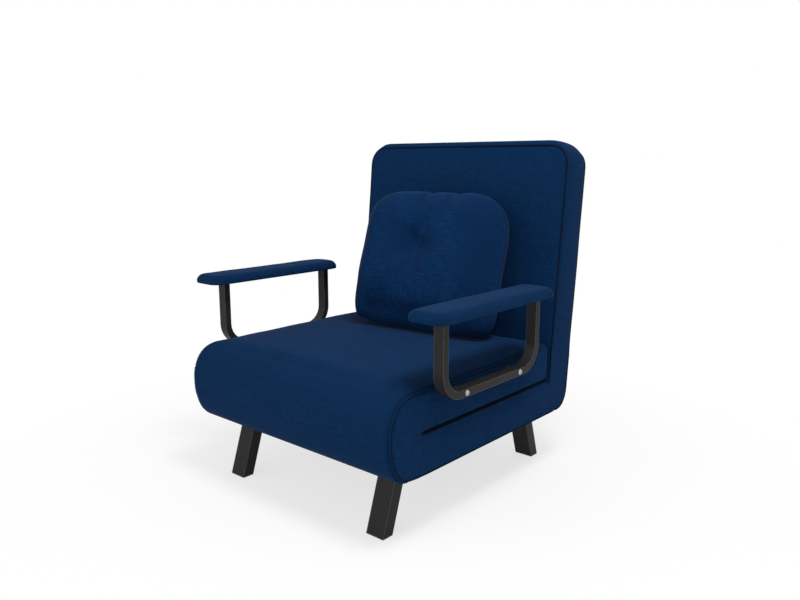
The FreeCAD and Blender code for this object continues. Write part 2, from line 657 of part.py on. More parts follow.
arm_bolts, arm_spacers, arm_nuts, pad_screws = [], [], [], []
cap_radius = (S.dome_radius * S.dome_radius + S.dome_height * S.dome_height) / (S.dome_height * 2)
cap_start = Dim(math.degrees(math.asin(1.0 - (S.dome_height / cap_radius).value)),
                "asin(1 - %s)" % (S.dome_height / cap_radius).expr)
for side, sign in SIDES:
    plates = [arm_loop("arm_loop_" + side, sign)]
    screw_holes = []
    plate_low = span_x(sign, arm_inner, arm_outer)[0]
    for k, (y, inward) in enumerate(zip(post_ys, (1, -1))):
        outer_face = y - S.arm_tube_depth / 2 * inward
        plate_y = outer_face if inward > 0 else outer_face - S.arm_plate_length
        plates.append(box("arm_plate_%s_%d" % (side, k),
                          (S.arm_tube_width, S.arm_plate_length, S.arm_plate_thickness),
                          (plate_low, plate_y, upright_top)))
        for m in range(2):
            name = "pad_screw_%s_%d_%d" % (side, k, m)
            away = S.pad_screw_start + S.pad_screw_spacing * m
            at = (arm_middle * sign, y + away * inward, upright_top)
            stem = rod(name + "_stem", S.pad_screw_radius, S.pad_screw_length, at, UPRIGHT)
            head = rod(name + "_head", S.screw_head_radius, S.screw_head_height,
                       (at[0], at[1], upright_top - S.screw_head_height), UPRIGHT)
            pad_screws.append(fuse(name, [stem, head]))
            screw_holes.append(rod(name + "_hole", S.pad_screw_radius + S.bolt_play, S.pad_screw_length,
                                   at, UPRIGHT))
    holes = fuse("pad_screw_holes_" + side, screw_holes)
    node(cut("arm_drilled_" + side, fuse("arm_weld_" + side, plates), [arm_bolt_holes, holes]),
         "arm_frame_" + side)
    board_low = arm_middle * sign - board_width / 2
    board = box("board_blank_" + side, (board_width, board_length, S.board_thickness),
                (board_low, board_y, pad_bottom))
    node(cut("board_drilled_" + side, board, [holes]), "arm_board_" + side)
    recess = box("board_recess_" + side, (
        board_width + clear * 2, board_length + clear * 2, S.board_thickness + clear),
        (board_low - clear, board_y - clear, pad_bottom))
    depth = S.pad_thickness.value
    edge = S.edge_inset.value
    layers = [(0.0, edge / 2), (edge, 0.0), (depth - edge * 1.5, 0.0), (depth - edge / 2, edge),
              (depth, edge * 4)]
    middle_y = (pad_front + pad_length / 2).value
    form = soft_form("arm_pad_form_" + side, stacked_sections(
        layers,
        lambda inset: rounded_outline(S.pad_width.value - inset * 2, inset - pad_length.value / 2,
                                      pad_length.value / 2 - inset,
                                      S.pad_corner_round.value - inset / 2),
        lambda point, z, x=arm_middle.value * sign: Vector(x + point[0], middle_y + point[1],
                                                           pad_bottom.value + z)))
    node(cut("arm_pad_cut_" + side, form, [recess]), "arm_pad_" + side)
    for k, y in enumerate(arm_bolt_ys):
        name = "arm_bolt_%s_%d" % (side, k)
        stem = side_rod(name + "_stem", sign, bolt_end, arm_outer, S.bolt_radius, y, bolt_z)
        cap = doc.addObject("Part::Sphere", name + "_cap")
        bind(cap, "Radius", cap_radius)
        bind(cap, "Angle1", cap_start)
        place(cap, ((arm_outer - cap_radius + S.dome_height) * sign, y, bolt_z),
              Rotation(Vector(0, 1, 0), 90 * sign))
        arm_bolts.append(fuse(name, [stem, cap]))
        sleeve = side_rod("spacer_%s_%d" % (side, k), sign, tab_outer, arm_inner, S.spacer_radius, y, bolt_z)
        arm_spacers.append(cut("spacer_bored_%s_%d" % (side, k), sleeve, [arm_bolt_holes]))
        nut = side_rod("nut_%s_%d" % (side, k), sign, bolt_end, frame_half, S.nut_radius, y, bolt_z)
        arm_nuts.append(cut("nut_bored_%s_%d" % (side, k), nut, [arm_bolt_holes]))
node(group("arm_bolt_set", arm_bolts), "arm_bolts")
node(group("arm_spacer_set", arm_spacers), "arm_spacers")
node(group("arm_nut_set", arm_nuts), "arm_nuts")
node(group("pad_screw_set", pad_screws), "arm_pad_screws")

# Recline hinges: brackets on the base frame, a pin, and a sealed ratchet on each side
hub_outer = bracket_outer + S.ratchet_thickness
disc_inner = ear_inner - S.ratchet_thickness
pin_inner = disc_inner - S.bracket_thickness
pin_outer = hub_outer + S.bracket_thickness
bore_radius = S.recline_pin_radius + S.recline_pin_play
hubs, pins, discs = [], [], []
for side, sign in SIDES:
    bore = side_rod("recline_bore_" + side, sign, pin_inner, pin_outer, bore_radius, pivot_y, pivot_z)
    low, thick = span_x(sign, bracket_inner, bracket_outer)
    body = doc.addObject("PartDesign::Body", "bracket_arm_" + side)
    outline = body_sketch(body, "bracket_outline_" + side, [
        (frame_rear, frame_bottom), (pivot_depth, pivot_z - S.bracket_radius),
        (pivot_depth, pivot_z + S.bracket_radius), (frame_rear, frame_top)])
    body_feature(body, "Pad", "bracket_pad_" + side, outline, S.bracket_thickness)
    place(body, (low, front, 0))
    eye = side_rod("bracket_eye_" + side, sign, bracket_inner, bracket_outer, S.bracket_radius,
                   pivot_y, pivot_z)
    node(cut("bracket_bored_" + side, fuse("bracket_weld_" + side, [body, eye]), [bore]),
         "recline_bracket_" + side)
    hub = side_rod("ratchet_hub_" + side, sign, bracket_outer, hub_outer, S.ratchet_radius, pivot_y, pivot_z)
    hubs.append(cut("ratchet_hub_bored_" + side, hub, [bore]))
    stem = side_rod("recline_pin_stem_" + side, sign, pin_inner, pin_outer, S.recline_pin_radius,
                    pivot_y, pivot_z)
    head = side_rod("recline_pin_head_" + side, sign, pin_inner, disc_inner, S.recline_pin_head,
                    pivot_y, pivot_z)
    collar = side_rod("recline_pin_collar_" + side, sign, hub_outer, pin_outer, S.recline_pin_head,
                      pivot_y, pivot_z)
    pins.append(fuse("recline_pin_" + side, [stem, head, collar]))
node(group("ratchet_hub_pair", hubs), "ratchet_hubs")
node(group("recline_pin_pair", pins), "recline_pins")

# Back, built upright about the recline pivot and then leaned
RATCHET_STOPS = 5
frame_t = drum - S.rear_pad_thickness - S.seat_frame_size
ear_top = S.back_frame_foot + S.seat_frame_size
back_frame_top = S.back_height - S.back_top_foam
back_parts = []
ear_bores = []
hinge_slots = []
for side, sign in SIDES:
    low = span_x(sign, frame_half - S.seat_frame_size, frame_half)[0]
    back_parts.append(square_tube("back_rail_" + side, "z", S.seat_frame_size,
                                  back_frame_top - S.back_frame_foot, (low, frame_t, S.back_frame_foot)))
    back_parts.append(side_box("ear_plate_" + side, sign, ear_inner, ear_outer, -S.bracket_radius,
                               S.bracket_radius * 2, 0, ear_top))
    back_parts.append(side_rod("ear_eye_" + side, sign, ear_inner, ear_outer, S.bracket_radius, 0, 0))
    ear_bores.append(side_rod("ear_bore_" + side, sign, pin_inner, pin_outer, bore_radius, 0, 0))
    hinge_slots.append(side_rod("hinge_slot_" + side, sign, pin_inner - S.slot_side_play,
                                pin_outer + S.slot_side_play, drum + S.slot_side_play, 0, 0))
    disc = side_rod("ratchet_disc_" + side, sign, disc_inner, ear_inner, S.ratchet_radius, 0, 0)
    notches = [ear_bores[-1]]
    for k in range(RATCHET_STOPS):
        angle = math.radians(S.ratchet_step.value * k)
        notches.append(side_rod("ratchet_notch_%s_%d" % (side, k), sign, disc_inner, ear_inner,
                                S.ratchet_notch_radius, S.ratchet_radius * math.cos(angle),
                                S.ratchet_radius * math.sin(angle)))
    discs.append(cut("ratchet_cut_" + side, disc, notches))
for k, z in enumerate((S.back_frame_foot, (S.back_frame_foot + back_frame_top - S.seat_frame_size) / 2,
                       back_frame_top - S.seat_frame_size)):
    back_parts.append(square_tube("back_cross_%d" % k, "x", S.seat_frame_size, seat_cross,
                                  (-(seat_cross / 2), frame_t, z)))
node(tilted(cut("back_frame_bored", fuse("back_frame_weld", back_parts), ear_bores)), "back_frame")
node(tilted(group("ratchet_disc_pair", discs)), "ratchet_discs")
node(tilted(straps("back_straps", S.back_frame_foot + S.seat_frame_size * 2,
                   back_frame_top - S.seat_frame_size, lambda name, z: box(
                       name, (frame_half * 2, S.strap_thickness, S.strap_width),
                       (-frame_half, frame_t - S.strap_thickness, z)))), "back_webbing")

half_back = drum.value
rim = S.back_edge_band.value
back_layers = [(half_back, S.back_edge_inset.value), (half_back - rim, 0.0), (rim - half_back, 0.0),
               (-half_back, S.back_edge_inset.value)]
for share in (0.15, 0.35, 0.6, 0.85, 1.0):
    rise = 1.0 - (1.0 - share) ** 2
    back_layers.append((-half_back - S.back_crown.value * rise, S.back_crown_inset.value * share))


def back_outline(inset):
    """Return the back's front view, drawn in all round once it rises into the crown."""
    over_seat = (seat_top - pivot_z).value
    foot = over_seat + inset if inset > S.back_edge_inset.value else 0.0
    return rounded_outline(back_width.value - inset * 2, foot, S.back_height.value - inset,
                           S.back_corner_round.value, 0.0, 0.0)


back_slab = soft_form("back_slab", stacked_sections(
    back_layers, back_outline, lambda point, t: Vector(point[0], t, point[1])))
back_drum = rod("back_drum", drum, back_width, (-(back_width / 2), 0, 0))
back_form = fuse("back_form", [back_slab, back_drum])
rear_layer = box("rear_layer", (back_width, S.rear_pad_thickness, S.back_height + drum),
                 (-(back_width / 2), drum - S.rear_pad_thickness, -drum))
back_pocket = box("back_pocket", (
    (frame_half + clear) * 2, S.seat_frame_size + S.strap_thickness + clear,
    back_frame_top - S.back_frame_foot + clear * 2),
    (-frame_half - clear, frame_t - S.strap_thickness - clear, S.back_frame_foot - clear))
ear_slots = [side_box("ear_slot_" + side, sign, ear_inner - clear,
                      ear_outer + clear, -S.bracket_radius - clear,
                      S.bracket_radius * 2 + clear * 2, 0, ear_top + clear) for side, sign in SIDES]
node(tilted(cut("back_cushion", back_form, [rear_layer, back_pocket] + hinge_slots + ear_slots)), "back_pad")
rear_part = common("rear_part", back_form, rear_layer)
node(tilted(cut("rear_cushion", rear_part, hinge_slots)), "back_rear_pad")

# Loose pillow: crowned both ways, waisted sides and one sewn tuft
PILLOW_STEPS = 6
PILLOW_FLAT = 0.2
belly = S.pillow_thickness.value / 2
pillow_layers = []
for step in range(-PILLOW_STEPS, PILLOW_STEPS + 1):
    swing = math.radians(90.0 * step / PILLOW_STEPS)
    pillow_layers.append((belly * math.sin(swing), PILLOW_FLAT * (1.0 - math.cos(swing))))


def pillow_outline(share):
    """Return the pillow's front view, drawn in by a share of its height."""
    inset = share * S.pillow_height.value
    return rounded_outline(S.pillow_width.value - inset * 2, inset, S.pillow_height.value - inset,
                           S.pillow_round.value, S.pillow_waist.value)


pillow_form = soft_form("pillow_form", stacked_sections(
    pillow_layers, pillow_outline, lambda point, t: Vector(point[0], t, point[1])))
tuft = doc.addObject("Part::Sphere", "tuft")
bind(tuft, "Radius", S.tuft_radius)
place(tuft, (S.tuft_offset, S.tuft_depth - S.tuft_radius - S.pillow_thickness / 2, S.tuft_height))
pillow = cut("pillow_tufted", pillow_form, [tuft])
pillow.Placement = Placement(Vector(), Rotation(Vector(0, 0, 1), S.pillow_turn.value).multiply(
    Rotation(Vector(-1, 0, 0), S.pillow_lean.value)))
pillow_y = front + S.seat_depth - S.pillow_rear_room - S.pillow_thickness / 2
place(pillow, (S.pillow_offset, pillow_y, seat_top + S.seat_crown))
node(pillow, "pillow")

# Let the pillow down until it sits on the seat
SETTLE_STEPS = 6
doc.recompute()
drop = 0.0
for step in range(SETTLE_STEPS):
    bind(pillow, "Placement.Base.z", seat_top + S.seat_crown - drop)
    doc.recompute()
    drop += pillow.Shape.distToShape(seat_pad.Shape)[0] - S.pillow_gap.value
bind(pillow, "Placement.Base.z", seat_top + S.seat_crown - drop)

# Check every object, then write each sub-part
doc.recompute()
for obj in doc.Objects:
    if "Invalid" in obj.State or "Error" in obj.State:
        raise RuntimeError("%s failed: %s" % (obj.Label, obj.State))
os.makedirs("parts", exist_ok=True)
for obj in nodes:
    shape = obj.Shape
    if shape.isNull() or not shape.isValid() or not shape.Solids:
        raise RuntimeError("%s has no valid solid" % obj.Label)
for obj in nodes:
    obj.Shape.exportStep("parts/%s.step" % obj.Label)
print("wrote %d sub-parts" % len(nodes))
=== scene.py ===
"""Looks of a convertible chair bed: upholstery, piping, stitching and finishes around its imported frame."""

import json
import logging
import math
from collections.abc import Callable, Sequence
from dataclasses import dataclass
from enum import Enum
from typing import ClassVar

import bmesh
import bpy
import numpy as np
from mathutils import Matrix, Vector, noise
from mathutils.bvhtree import BVHTree

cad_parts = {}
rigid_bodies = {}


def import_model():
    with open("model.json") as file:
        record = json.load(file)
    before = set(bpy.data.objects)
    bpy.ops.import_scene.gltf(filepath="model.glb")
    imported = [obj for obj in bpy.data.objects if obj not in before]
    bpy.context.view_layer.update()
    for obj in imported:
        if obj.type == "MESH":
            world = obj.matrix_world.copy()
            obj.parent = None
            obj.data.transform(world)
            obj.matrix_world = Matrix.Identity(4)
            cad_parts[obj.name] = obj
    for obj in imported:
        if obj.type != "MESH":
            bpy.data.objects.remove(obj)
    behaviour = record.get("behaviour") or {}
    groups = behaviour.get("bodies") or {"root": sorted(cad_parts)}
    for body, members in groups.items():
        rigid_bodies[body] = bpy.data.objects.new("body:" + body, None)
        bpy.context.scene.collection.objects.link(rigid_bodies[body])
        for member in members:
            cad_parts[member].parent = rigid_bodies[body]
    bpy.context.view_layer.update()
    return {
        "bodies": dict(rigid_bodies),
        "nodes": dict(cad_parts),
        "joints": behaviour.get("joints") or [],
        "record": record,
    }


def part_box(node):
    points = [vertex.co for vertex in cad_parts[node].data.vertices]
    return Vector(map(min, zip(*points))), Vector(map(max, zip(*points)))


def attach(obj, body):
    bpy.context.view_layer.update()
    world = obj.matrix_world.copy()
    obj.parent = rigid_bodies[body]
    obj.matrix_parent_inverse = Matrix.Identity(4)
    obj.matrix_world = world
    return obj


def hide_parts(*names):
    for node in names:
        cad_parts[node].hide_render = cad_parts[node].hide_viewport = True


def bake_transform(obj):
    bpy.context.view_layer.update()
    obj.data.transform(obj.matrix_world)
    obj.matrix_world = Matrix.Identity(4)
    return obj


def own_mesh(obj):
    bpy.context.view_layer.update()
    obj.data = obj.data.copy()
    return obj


LOG = logging.getLogger("chair_bed")
MM = 0.001
Points = np.ndarray
Mover = Callable[[Points], Points]
Pair = tuple[float, float]
Place = tuple[float, float, float]

# Points along a cushion's length: the closed front, the slit's mouth and the open slit share their ends
CLOSED_POINTS = 11
MOUTH_POINTS = 3
OPEN_POINTS = 50
LENGTH_POINTS = CLOSED_POINTS + MOUTH_POINTS + OPEN_POINTS - 2
STATION_PITCH = 9.5
EDGE_TURNS = (90.0, 65.0, 40.0, 18.0)
CORD_SIDES = 8
THREAD_SIDES = 6
# A way that no cord of the chair starts along, from which a cord's first ring is turned
CORD_START = (0.31, 0.52, 0.79)
SIDES = (("left", 1.0), ("right", -1.0))
# How near to a side panel, or to a level face, a place counts as lying on it
PANEL_BAND = 0.2
FACE_BAND = 1.5
# The hold below which cloth is left loose, and the move below which it stays where it is
LOOSE = 0.01
STILL = 1e-9


class Body(Enum):
    """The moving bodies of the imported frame."""

    BASE = "base"
    SEAT = "seat_section"
    BACK = "back_section"
    PILLOW = "loose_pillow"


class Slot(Enum):
    """The record's material slots, passed along with new pieces."""

    CUSHION = "cushion_fabric"
    PILLOW = "pillow_fabric"


# Materials


def to_linear(code: str) -> tuple[float, float, float, float]:
    """Turn an sRGB hex colour into linear RGBA.

    Args:
        code: The colour as "#rrggbb".

    Returns:
        Red, green, blue and an alpha of one.
    """
    channels = [int(code[k:k + 2], 16) / 255.0 for k in (1, 3, 5)]
    linear = [c / 12.92 if c <= 0.04045 else ((c + 0.055) / 1.055) ** 2.4 for c in channels]
    return (*linear, 1.0)


def connect(tree: bpy.types.NodeTree, node: bpy.types.Node, inputs: dict) -> None:
    """Set or link a node's inputs.

    Args:
        tree: The node's tree.
        node: The node.
        inputs: Socket names or numbers, each with a value or with a socket to link from.
    """
    for key, value in inputs.items():
        if isinstance(value, bpy.types.NodeSocket):
            tree.links.new(value, node.inputs[key])
        else:
            node.inputs[key].default_value = value


def add_node(tree: bpy.types.NodeTree, kind: str, inputs: dict | None = None,
             stops: Sequence[tuple[float, str]] = (), **settings) -> bpy.types.Node:
    """Add a shader node with its settings and links.

    Args:
        tree: The tree that gets the node.
        kind: The node's type, without the part that all share.
        inputs: Socket names or numbers, each with a value or with a socket to link from.
        stops: A colour ramp's places from 0 to 1, each with a hex colour.
        settings: The node's own properties.

    Returns:
        The new node.
    """
    node = tree.nodes.new("ShaderNode" + kind)
    for name, value in settings.items():
        setattr(node, name, value)
    if stops:
        elements = node.color_ramp.elements
        while len(elements) < len(stops):
            elements.new(0.5)
        for element, (place, code) in zip(elements, stops):
            element.position = place
            element.color = to_linear(code)
    connect(tree, node, inputs or {})
    return node


def new_material(name: str) -> tuple[bpy.types.Material, bpy.types.NodeTree, bpy.types.Node]:
    """Make a node material.

    Args:
        name: The material's name.

    Returns:
        The material, its tree and its principled shader.
    """
    material = bpy.data.materials.new(name)
    material.use_nodes = True
    return material, material.node_tree, material.node_tree.nodes["Principled BSDF"]


def mottle(tree: bpy.types.NodeTree, sizes_mm: Sequence[float], detail: float,
           roughness: float = 0.5) -> bpy.types.NodeSocket:
    """Lay a noise over a piece whose grains have a size along each axis.

    Args:
        tree: The material's tree.
        sizes_mm: The grain's size along x, y and z.
        detail: How many finer layers the noise has.
        roughness: How strong those layers are.

    Returns:
        The noise's output.
    """
    coords = add_node(tree, "TexCoord")
    scale = [1.0 / (size * MM) for size in sizes_mm]
    scaled = add_node(tree, "VectorMath", {0: coords.outputs["Object"], 1: scale}, operation="MULTIPLY")
    grains = add_node(tree, "TexNoise", {"Vector": scaled.outputs[0], "Scale": 1.0, "Detail": detail,
                                         "Roughness": roughness})
    return grains.outputs[0]


@dataclass(frozen=True)
class WovenCloth:
    """Polyester linen-look cloth, plain woven from uneven yarn.

    Thick and thin yarn gives short lighter and darker streaks along both thread directions, and the loose
    fibres give a soft pale sheen at grazing angles. The real yarn is about 0.8 mm, too fine to show, so it is
    drawn three times as coarse.
    """

    name: str
    shade: str
    ground: str
    slub: str
    yarn_mm: float = 2.4
    slub_mm: float = 30.0
    cloud_mm: float = 160.0
    cloud_share: float = 0.07
    relief_mm: float = 0.5
    fibre_tint: str = "#b8bfd8"

    def build(self) -> bpy.types.Material:
        """Make the cloth: each face shows the two thread directions that lie in it.

        Returns:
            The cloth's material.
        """
        material, tree, shader = new_material(self.name)
        coords = add_node(tree, "TexCoord")
        facing = add_node(tree, "VectorMath", {0: coords.outputs["Normal"]}, operation="ABSOLUTE")
        along = add_node(tree, "VectorMath", {0: (1.0, 1.0, 1.0), 1: facing.outputs[0]}, operation="SUBTRACT")
        yarns = add_node(tree, "CombineXYZ")
        for axis in range(3):
            sizes = [self.yarn_mm] * 3
            sizes[axis] = self.slub_mm
            connect(tree, yarns, {axis: mottle(tree, sizes, 2.0, 0.55)})
        woven = add_node(tree, "VectorMath", {0: yarns.outputs[0], 1: along.outputs[0]},
                         operation="DOT_PRODUCT")
        level = add_node(tree, "Math", {0: woven.outputs["Value"], 1: 0.5}, operation="MULTIPLY")
        cloud = mottle(tree, [self.cloud_mm] * 3, 3.0)
        mottled = add_node(tree, "Math", {0: cloud, 1: self.cloud_share, 2: level.outputs[0]},
                           operation="MULTIPLY_ADD")
        tint = add_node(tree, "ValToRGB", {0: mottled.outputs[0]},
                        [(0.4, self.shade), (0.55, self.ground), (0.72, self.slub)])
        relief = add_node(tree, "Bump", {"Height": level.outputs[0], "Strength": 0.7,
                                         "Distance": self.relief_mm * MM})
        connect(tree, shader, {"Base Color": tint.outputs[0], "Normal": relief.outputs[0], "Roughness": 0.92,
                               "IOR": 1.5, "Specular IOR Level": 0.03, "Sheen Weight": 0.055,
                               "Sheen Roughness": 0.35, "Sheen Tint": to_linear(self.fibre_tint)})
        return material


@dataclass(frozen=True)
class TwistedCord:
    """Polyester piping cord or sewing thread, twisted from plies: fine slanting ridges and a low sheen."""

    name: str
    hollow: str
    ridge: str
    lay_mm: float
    # The wave texture's scale that gives about one ridge per metre along its diagonal
    ridge_rate: float = 0.32
    relief_mm: float = 0.3

    def build(self) -> bpy.types.Material:
        """Make the cord.

        Returns:
            The cord's material.
        """
        material, tree, shader = new_material(self.name)
        coords = add_node(tree, "TexCoord")
        plies = add_node(tree, "TexWave", {"Vector": coords.outputs["Object"], "Distortion": 1.5,
                                           "Scale": self.ridge_rate / (self.lay_mm * MM), "Detail": 2.0},
                         wave_type="BANDS", bands_direction="DIAGONAL")
        ridges = plies.outputs["Fac"]
        tint = add_node(tree, "ValToRGB", {0: ridges}, [(0.2, self.hollow), (0.8, self.ridge)])
        relief = add_node(tree, "Bump", {"Height": ridges, "Strength": 0.5, "Distance": self.relief_mm * MM})
        connect(tree, shader, {"Base Color": tint.outputs[0], "Normal": relief.outputs[0], "Roughness": 0.85,
                               "Specular IOR Level": 0.08})
        return material


@dataclass(frozen=True)
class PowderCoat:
    """Powder coat baked on steel: a fine pebbled satin skin, with a paler colour painted along its edges as a
    highlight.
    """

    name: str
    film: str
    speck: str
    # The paler colour painted along the edges, a painted highlight
    edge_highlight: str
    pebble_mm: float = 1.1
    smear_mm: float = 60.0
    edge_mm: float = 1.8
    relief_mm: float = 0.15

    def build(self) -> bpy.types.Material:
        """Make the coat, its edges painted paler as a highlight. An edge is found where the bevelled normal
        turns away from the true one.

        Returns:
            The coat's material.
        """
        material, tree, shader = new_material(self.name)
        pebble = mottle(tree, [self.pebble_mm] * 3, 2.0)
        smear = mottle(tree, [self.smear_mm] * 3, 4.0)
        tint = add_node(tree, "ValToRGB", {0: pebble}, [(0.35, self.film), (0.75, self.speck)])
        rounded = add_node(tree, "Bevel", {"Radius": self.edge_mm * MM}, samples=8)
        true = add_node(tree, "NewGeometry")
        flat = add_node(tree, "VectorMath", {0: rounded.outputs[0], 1: true.outputs["Normal"]},
                        operation="DOT_PRODUCT")
        # Where the edge mask is high the paler colour is mixed in: a painted highlight along the edges
        edge = add_node(tree, "MapRange", {"Value": flat.outputs["Value"], "From Min": 0.99, "From Max": 0.8,
                                           "To Min": 0.0, "To Max": 0.8})
        # A mix's colours are its sockets 6 and 7, and its mixed colour is output 2
        highlighted = add_node(tree, "Mix", {0: edge.outputs[0], 6: tint.outputs[0], 7: to_linear(self.edge_highlight)},
                        data_type="RGBA")
        gloss = add_node(tree, "MapRange", {"Value": smear, "From Min": 0.3, "From Max": 0.7,
                                            "To Min": 0.3, "To Max": 0.4})
        relief = add_node(tree, "Bump", {"Height": pebble, "Strength": 0.12, "Distance": self.relief_mm * MM,
                                         "Normal": rounded.outputs[0]})
        connect(tree, shader, {"Base Color": highlighted.outputs[2], "Normal": relief.outputs[0],
                               "Roughness": gloss.outputs[0], "Specular IOR Level": 0.07})
        return material


@dataclass(frozen=True)
class PlatedSteel:
    """Plated steel, turned or rolled: bright metal with fine drawn scratches that blur its reflections."""

    name: str
    bright: str
    dull: str
    low_gloss: float
    high_gloss: float
    scratch_mm: float = 0.7
    drawn_out: float = 14.0
    edge_mm: float = 0.5
    relief_mm: float = 0.05

    def build(self) -> bpy.types.Material:
        """Make the metal.

        Returns:
            The metal's material.
        """
        material, tree, shader = new_material(self.name)
        scratch = mottle(tree, (self.scratch_mm, self.scratch_mm * self.drawn_out, self.scratch_mm), 3.0)
        tint = add_node(tree, "ValToRGB", {0: scratch}, [(0.3, self.dull), (0.7, self.bright)])
        gloss = add_node(tree, "MapRange", {"Value": scratch, "From Min": 0.3, "From Max": 0.7,
                                            "To Min": self.low_gloss, "To Max": self.high_gloss})
        rounded = add_node(tree, "Bevel", {"Radius": self.edge_mm * MM}, samples=4)
        relief = add_node(tree, "Bump", {"Height": scratch, "Strength": 0.1, "Distance": self.relief_mm * MM,
                                         "Normal": rounded.outputs[0]})
        connect(tree, shader, {"Base Color": tint.outputs[0], "Normal": relief.outputs[0],
                               "Roughness": gloss.outputs[0], "Metallic": 1.0})
        return material


@dataclass(frozen=True)
class GrainedStock:
    """Plain stock with a grain: woven strap, spun-bonded sheet, moulded nylon or poplar plywood.

    The grain's sizes along the axes tell them apart: equal in moulded or spun stock, long in strap and wood.
    """

    name: str
    low: str
    high: str
    grain_mm: Place
    roughness: float
    ior: float = 1.5
    relief_mm: float = 0.25

    def build(self) -> bpy.types.Material:
        """Make the stock.

        Returns:
            The stock's material.
        """
        material, tree, shader = new_material(self.name)
        grain = mottle(tree, self.grain_mm, 3.0)
        tint = add_node(tree, "ValToRGB", {0: grain}, [(0.3, self.low), (0.7, self.high)])
        relief = add_node(tree, "Bump", {"Height": grain, "Strength": 0.4, "Distance": self.relief_mm * MM})
        connect(tree, shader, {"Base Color": tint.outputs[0], "Normal": relief.outputs[0],
                               "Roughness": self.roughness, "IOR": self.ior})
        return material


class Finish(Enum):
    """Every finish of the chair."""

    CUSHION = WovenCloth("linen_look_polyester_navy", "#082443", "#0a294c", "#0e3055")
    PILLOW = WovenCloth("linen_look_polyester_blue", "#082344", "#0b2d55", "#123863", yarn_mm=2.5)
    PIPING = TwistedCord("polyester_piping_covered", "#030b17", "#061427", 2.4)
    THREAD = TwistedCord("polyester_thread_twisted", "#040e1d", "#081a30", 1.2)
    # The coat's third colour is painted along its edges as a highlight
    COAT = PowderCoat("powder_coated_steel_charcoal", "#272525", "#302e2e", "#78746f")
    BOLT = PlatedSteel("nickel_plated_steel_dome", "#b4b3b0", "#8f8e8b", 0.16, 0.32)
    ZINC = PlatedSteel("zinc_plated_steel_rolled", "#c9cacb", "#8f9294", 0.28, 0.46)
    STRAP = GrainedStock("polypropylene_strap_woven", "#0d0d0e", "#232325", (1.6, 12.8, 1.6), 0.7)
    SHEET = GrainedStock("spun_bonded_dust_sheet", "#0a0a0b", "#1a1a1c", (1.2, 1.2, 1.2), 0.95)
    NYLON = GrainedStock("nylon_glide_moulded", "#0c0c0d", "#1b1b1c", (0.8, 0.8, 0.8), 0.5, 1.53)
    BOARD = GrainedStock("poplar_plywood_sanded", "#a8865c", "#c9a87c", (2.2, 39.6, 2.2), 0.65)

    def material(self) -> bpy.types.Material:
        """Return the finish's material, made at its first use."""
        return bpy.data.materials.get(self.value.name) or self.value.build()


# Mesh helpers, in millimetres until a mesh is made


def arc(centre: Sequence[float], radius: float, first: float, last: float, count: int) -> Points:
    """Return points on a circle from one angle to another, in degrees."""
    angle = np.radians(np.linspace(first, last, count))
    return np.stack([centre[0] + radius * np.cos(angle), centre[1] + radius * np.sin(angle)], 1)


def arcs(*parts: tuple) -> Points:
    """Return arcs joined into one run, each given as the arc function takes it."""
    return np.concatenate([arc(*part) for part in parts])


def lengths(path: Points) -> Points:
    """Return how far along a polyline each of its points lies."""
    return np.concatenate([[0.0], np.cumsum(np.linalg.norm(np.diff(path, axis=0), axis=1))])


def between(places: Points, reach: Points, values: Points) -> Points:
    """Return rows of values read off at places along a polyline whose points lie at the reaches."""
    return np.stack([np.interp(places, reach, column) for column in values.T], 1)


def evenly(points: Points, count: int) -> Points:
    """Return a polyline resampled to evenly spaced points, both ends kept."""
    reach = lengths(points)
    return between(np.linspace(0.0, reach[-1], count), reach, points)


def joined(*parts: tuple[Points, int]) -> Points:
    """Return one run from polylines that meet end to end, each resampled to its own count."""
    runs = [evenly(points, count) for points, count in parts]
    return np.concatenate([runs[0]] + [run[1:] for run in runs[1:]])


def ways(path: Points) -> Points:
    """Return the unit way along an open polyline at each of its points."""
    along = np.gradient(path, axis=0)
    return along / np.linalg.norm(along, axis=1)[:, None]


def left_of(along: Points) -> Points:
    """Return the way to the left of each flat way."""
    return np.stack([-along[:, 1], along[:, 0]], 1)


def at_x(x: float | Points, run: Points) -> Points:
    """Return a flat run stood up at a place across the chair."""
    return np.column_stack([np.broadcast_to(x, len(run)), run])


def nearest(values: Points, target: float) -> int:
    """Return the number of the value that is nearest to a target."""
    return int(np.argmin(np.abs(values - target)))


def smooth(value: Points | float, low: float, high: float) -> Points | float:
    """Return an eased step from 0 at low to 1 at high."""
    t = np.clip((value - low) / (high - low), 0.0, 1.0)
    return t * t * (3.0 - 2.0 * t)


def eased(value: Points, origin: float, band: Pair) -> Points:
    """Return an eased step from 0 to 1 over a band that is given from an origin."""
    return smooth(value, origin + band[0], origin + band[1])


def domed(value: Points) -> Points:
    """Return a parabola that is 1 at 0 and 0 from -1 and 1 outwards."""
    return np.clip(1.0 - value ** 2, 0.0, 1.0)


def uneven(points: Points, size_mm: float, height_mm: float) -> Points:
    """Return a smooth hand-made unevenness for each point, of about that width and height."""
    return np.array([noise.noise(Vector(p) / size_mm) for p in points]) * height_mm


@dataclass
class Section:
    """A closed outline made of four runs that meet at four corners, anticlockwise from the front foot."""

    bottom: Points
    rear: Points
    top: Points
    front: Points

    def ring(self) -> Points:
        """Return the outline as one closed ring."""
        return np.concatenate([run[:-1] for run in (self.bottom, self.rear, self.top, self.front)])

    def counts(self) -> tuple[int, int]:
        """Return how many steps the bottom and the rear have."""
        return len(self.bottom) - 1, len(self.rear) - 1

    def drawn_in(self, inset: float, share: Mover | None = None) -> Points:
        """Move the ring inwards.

        Args:
            inset: How far, in millimetres.
            share: Gives each point its share of the move along either axis, all of it if left out.

        Returns:
            The ring's new points.
        """
        ring = self.ring()
        along = np.roll(ring, -1, 0) - np.roll(ring, 1, 0)
        move = inset * left_of(along / np.linalg.norm(along, axis=1)[:, None])
        return ring + (move if share is None else move * share(ring))


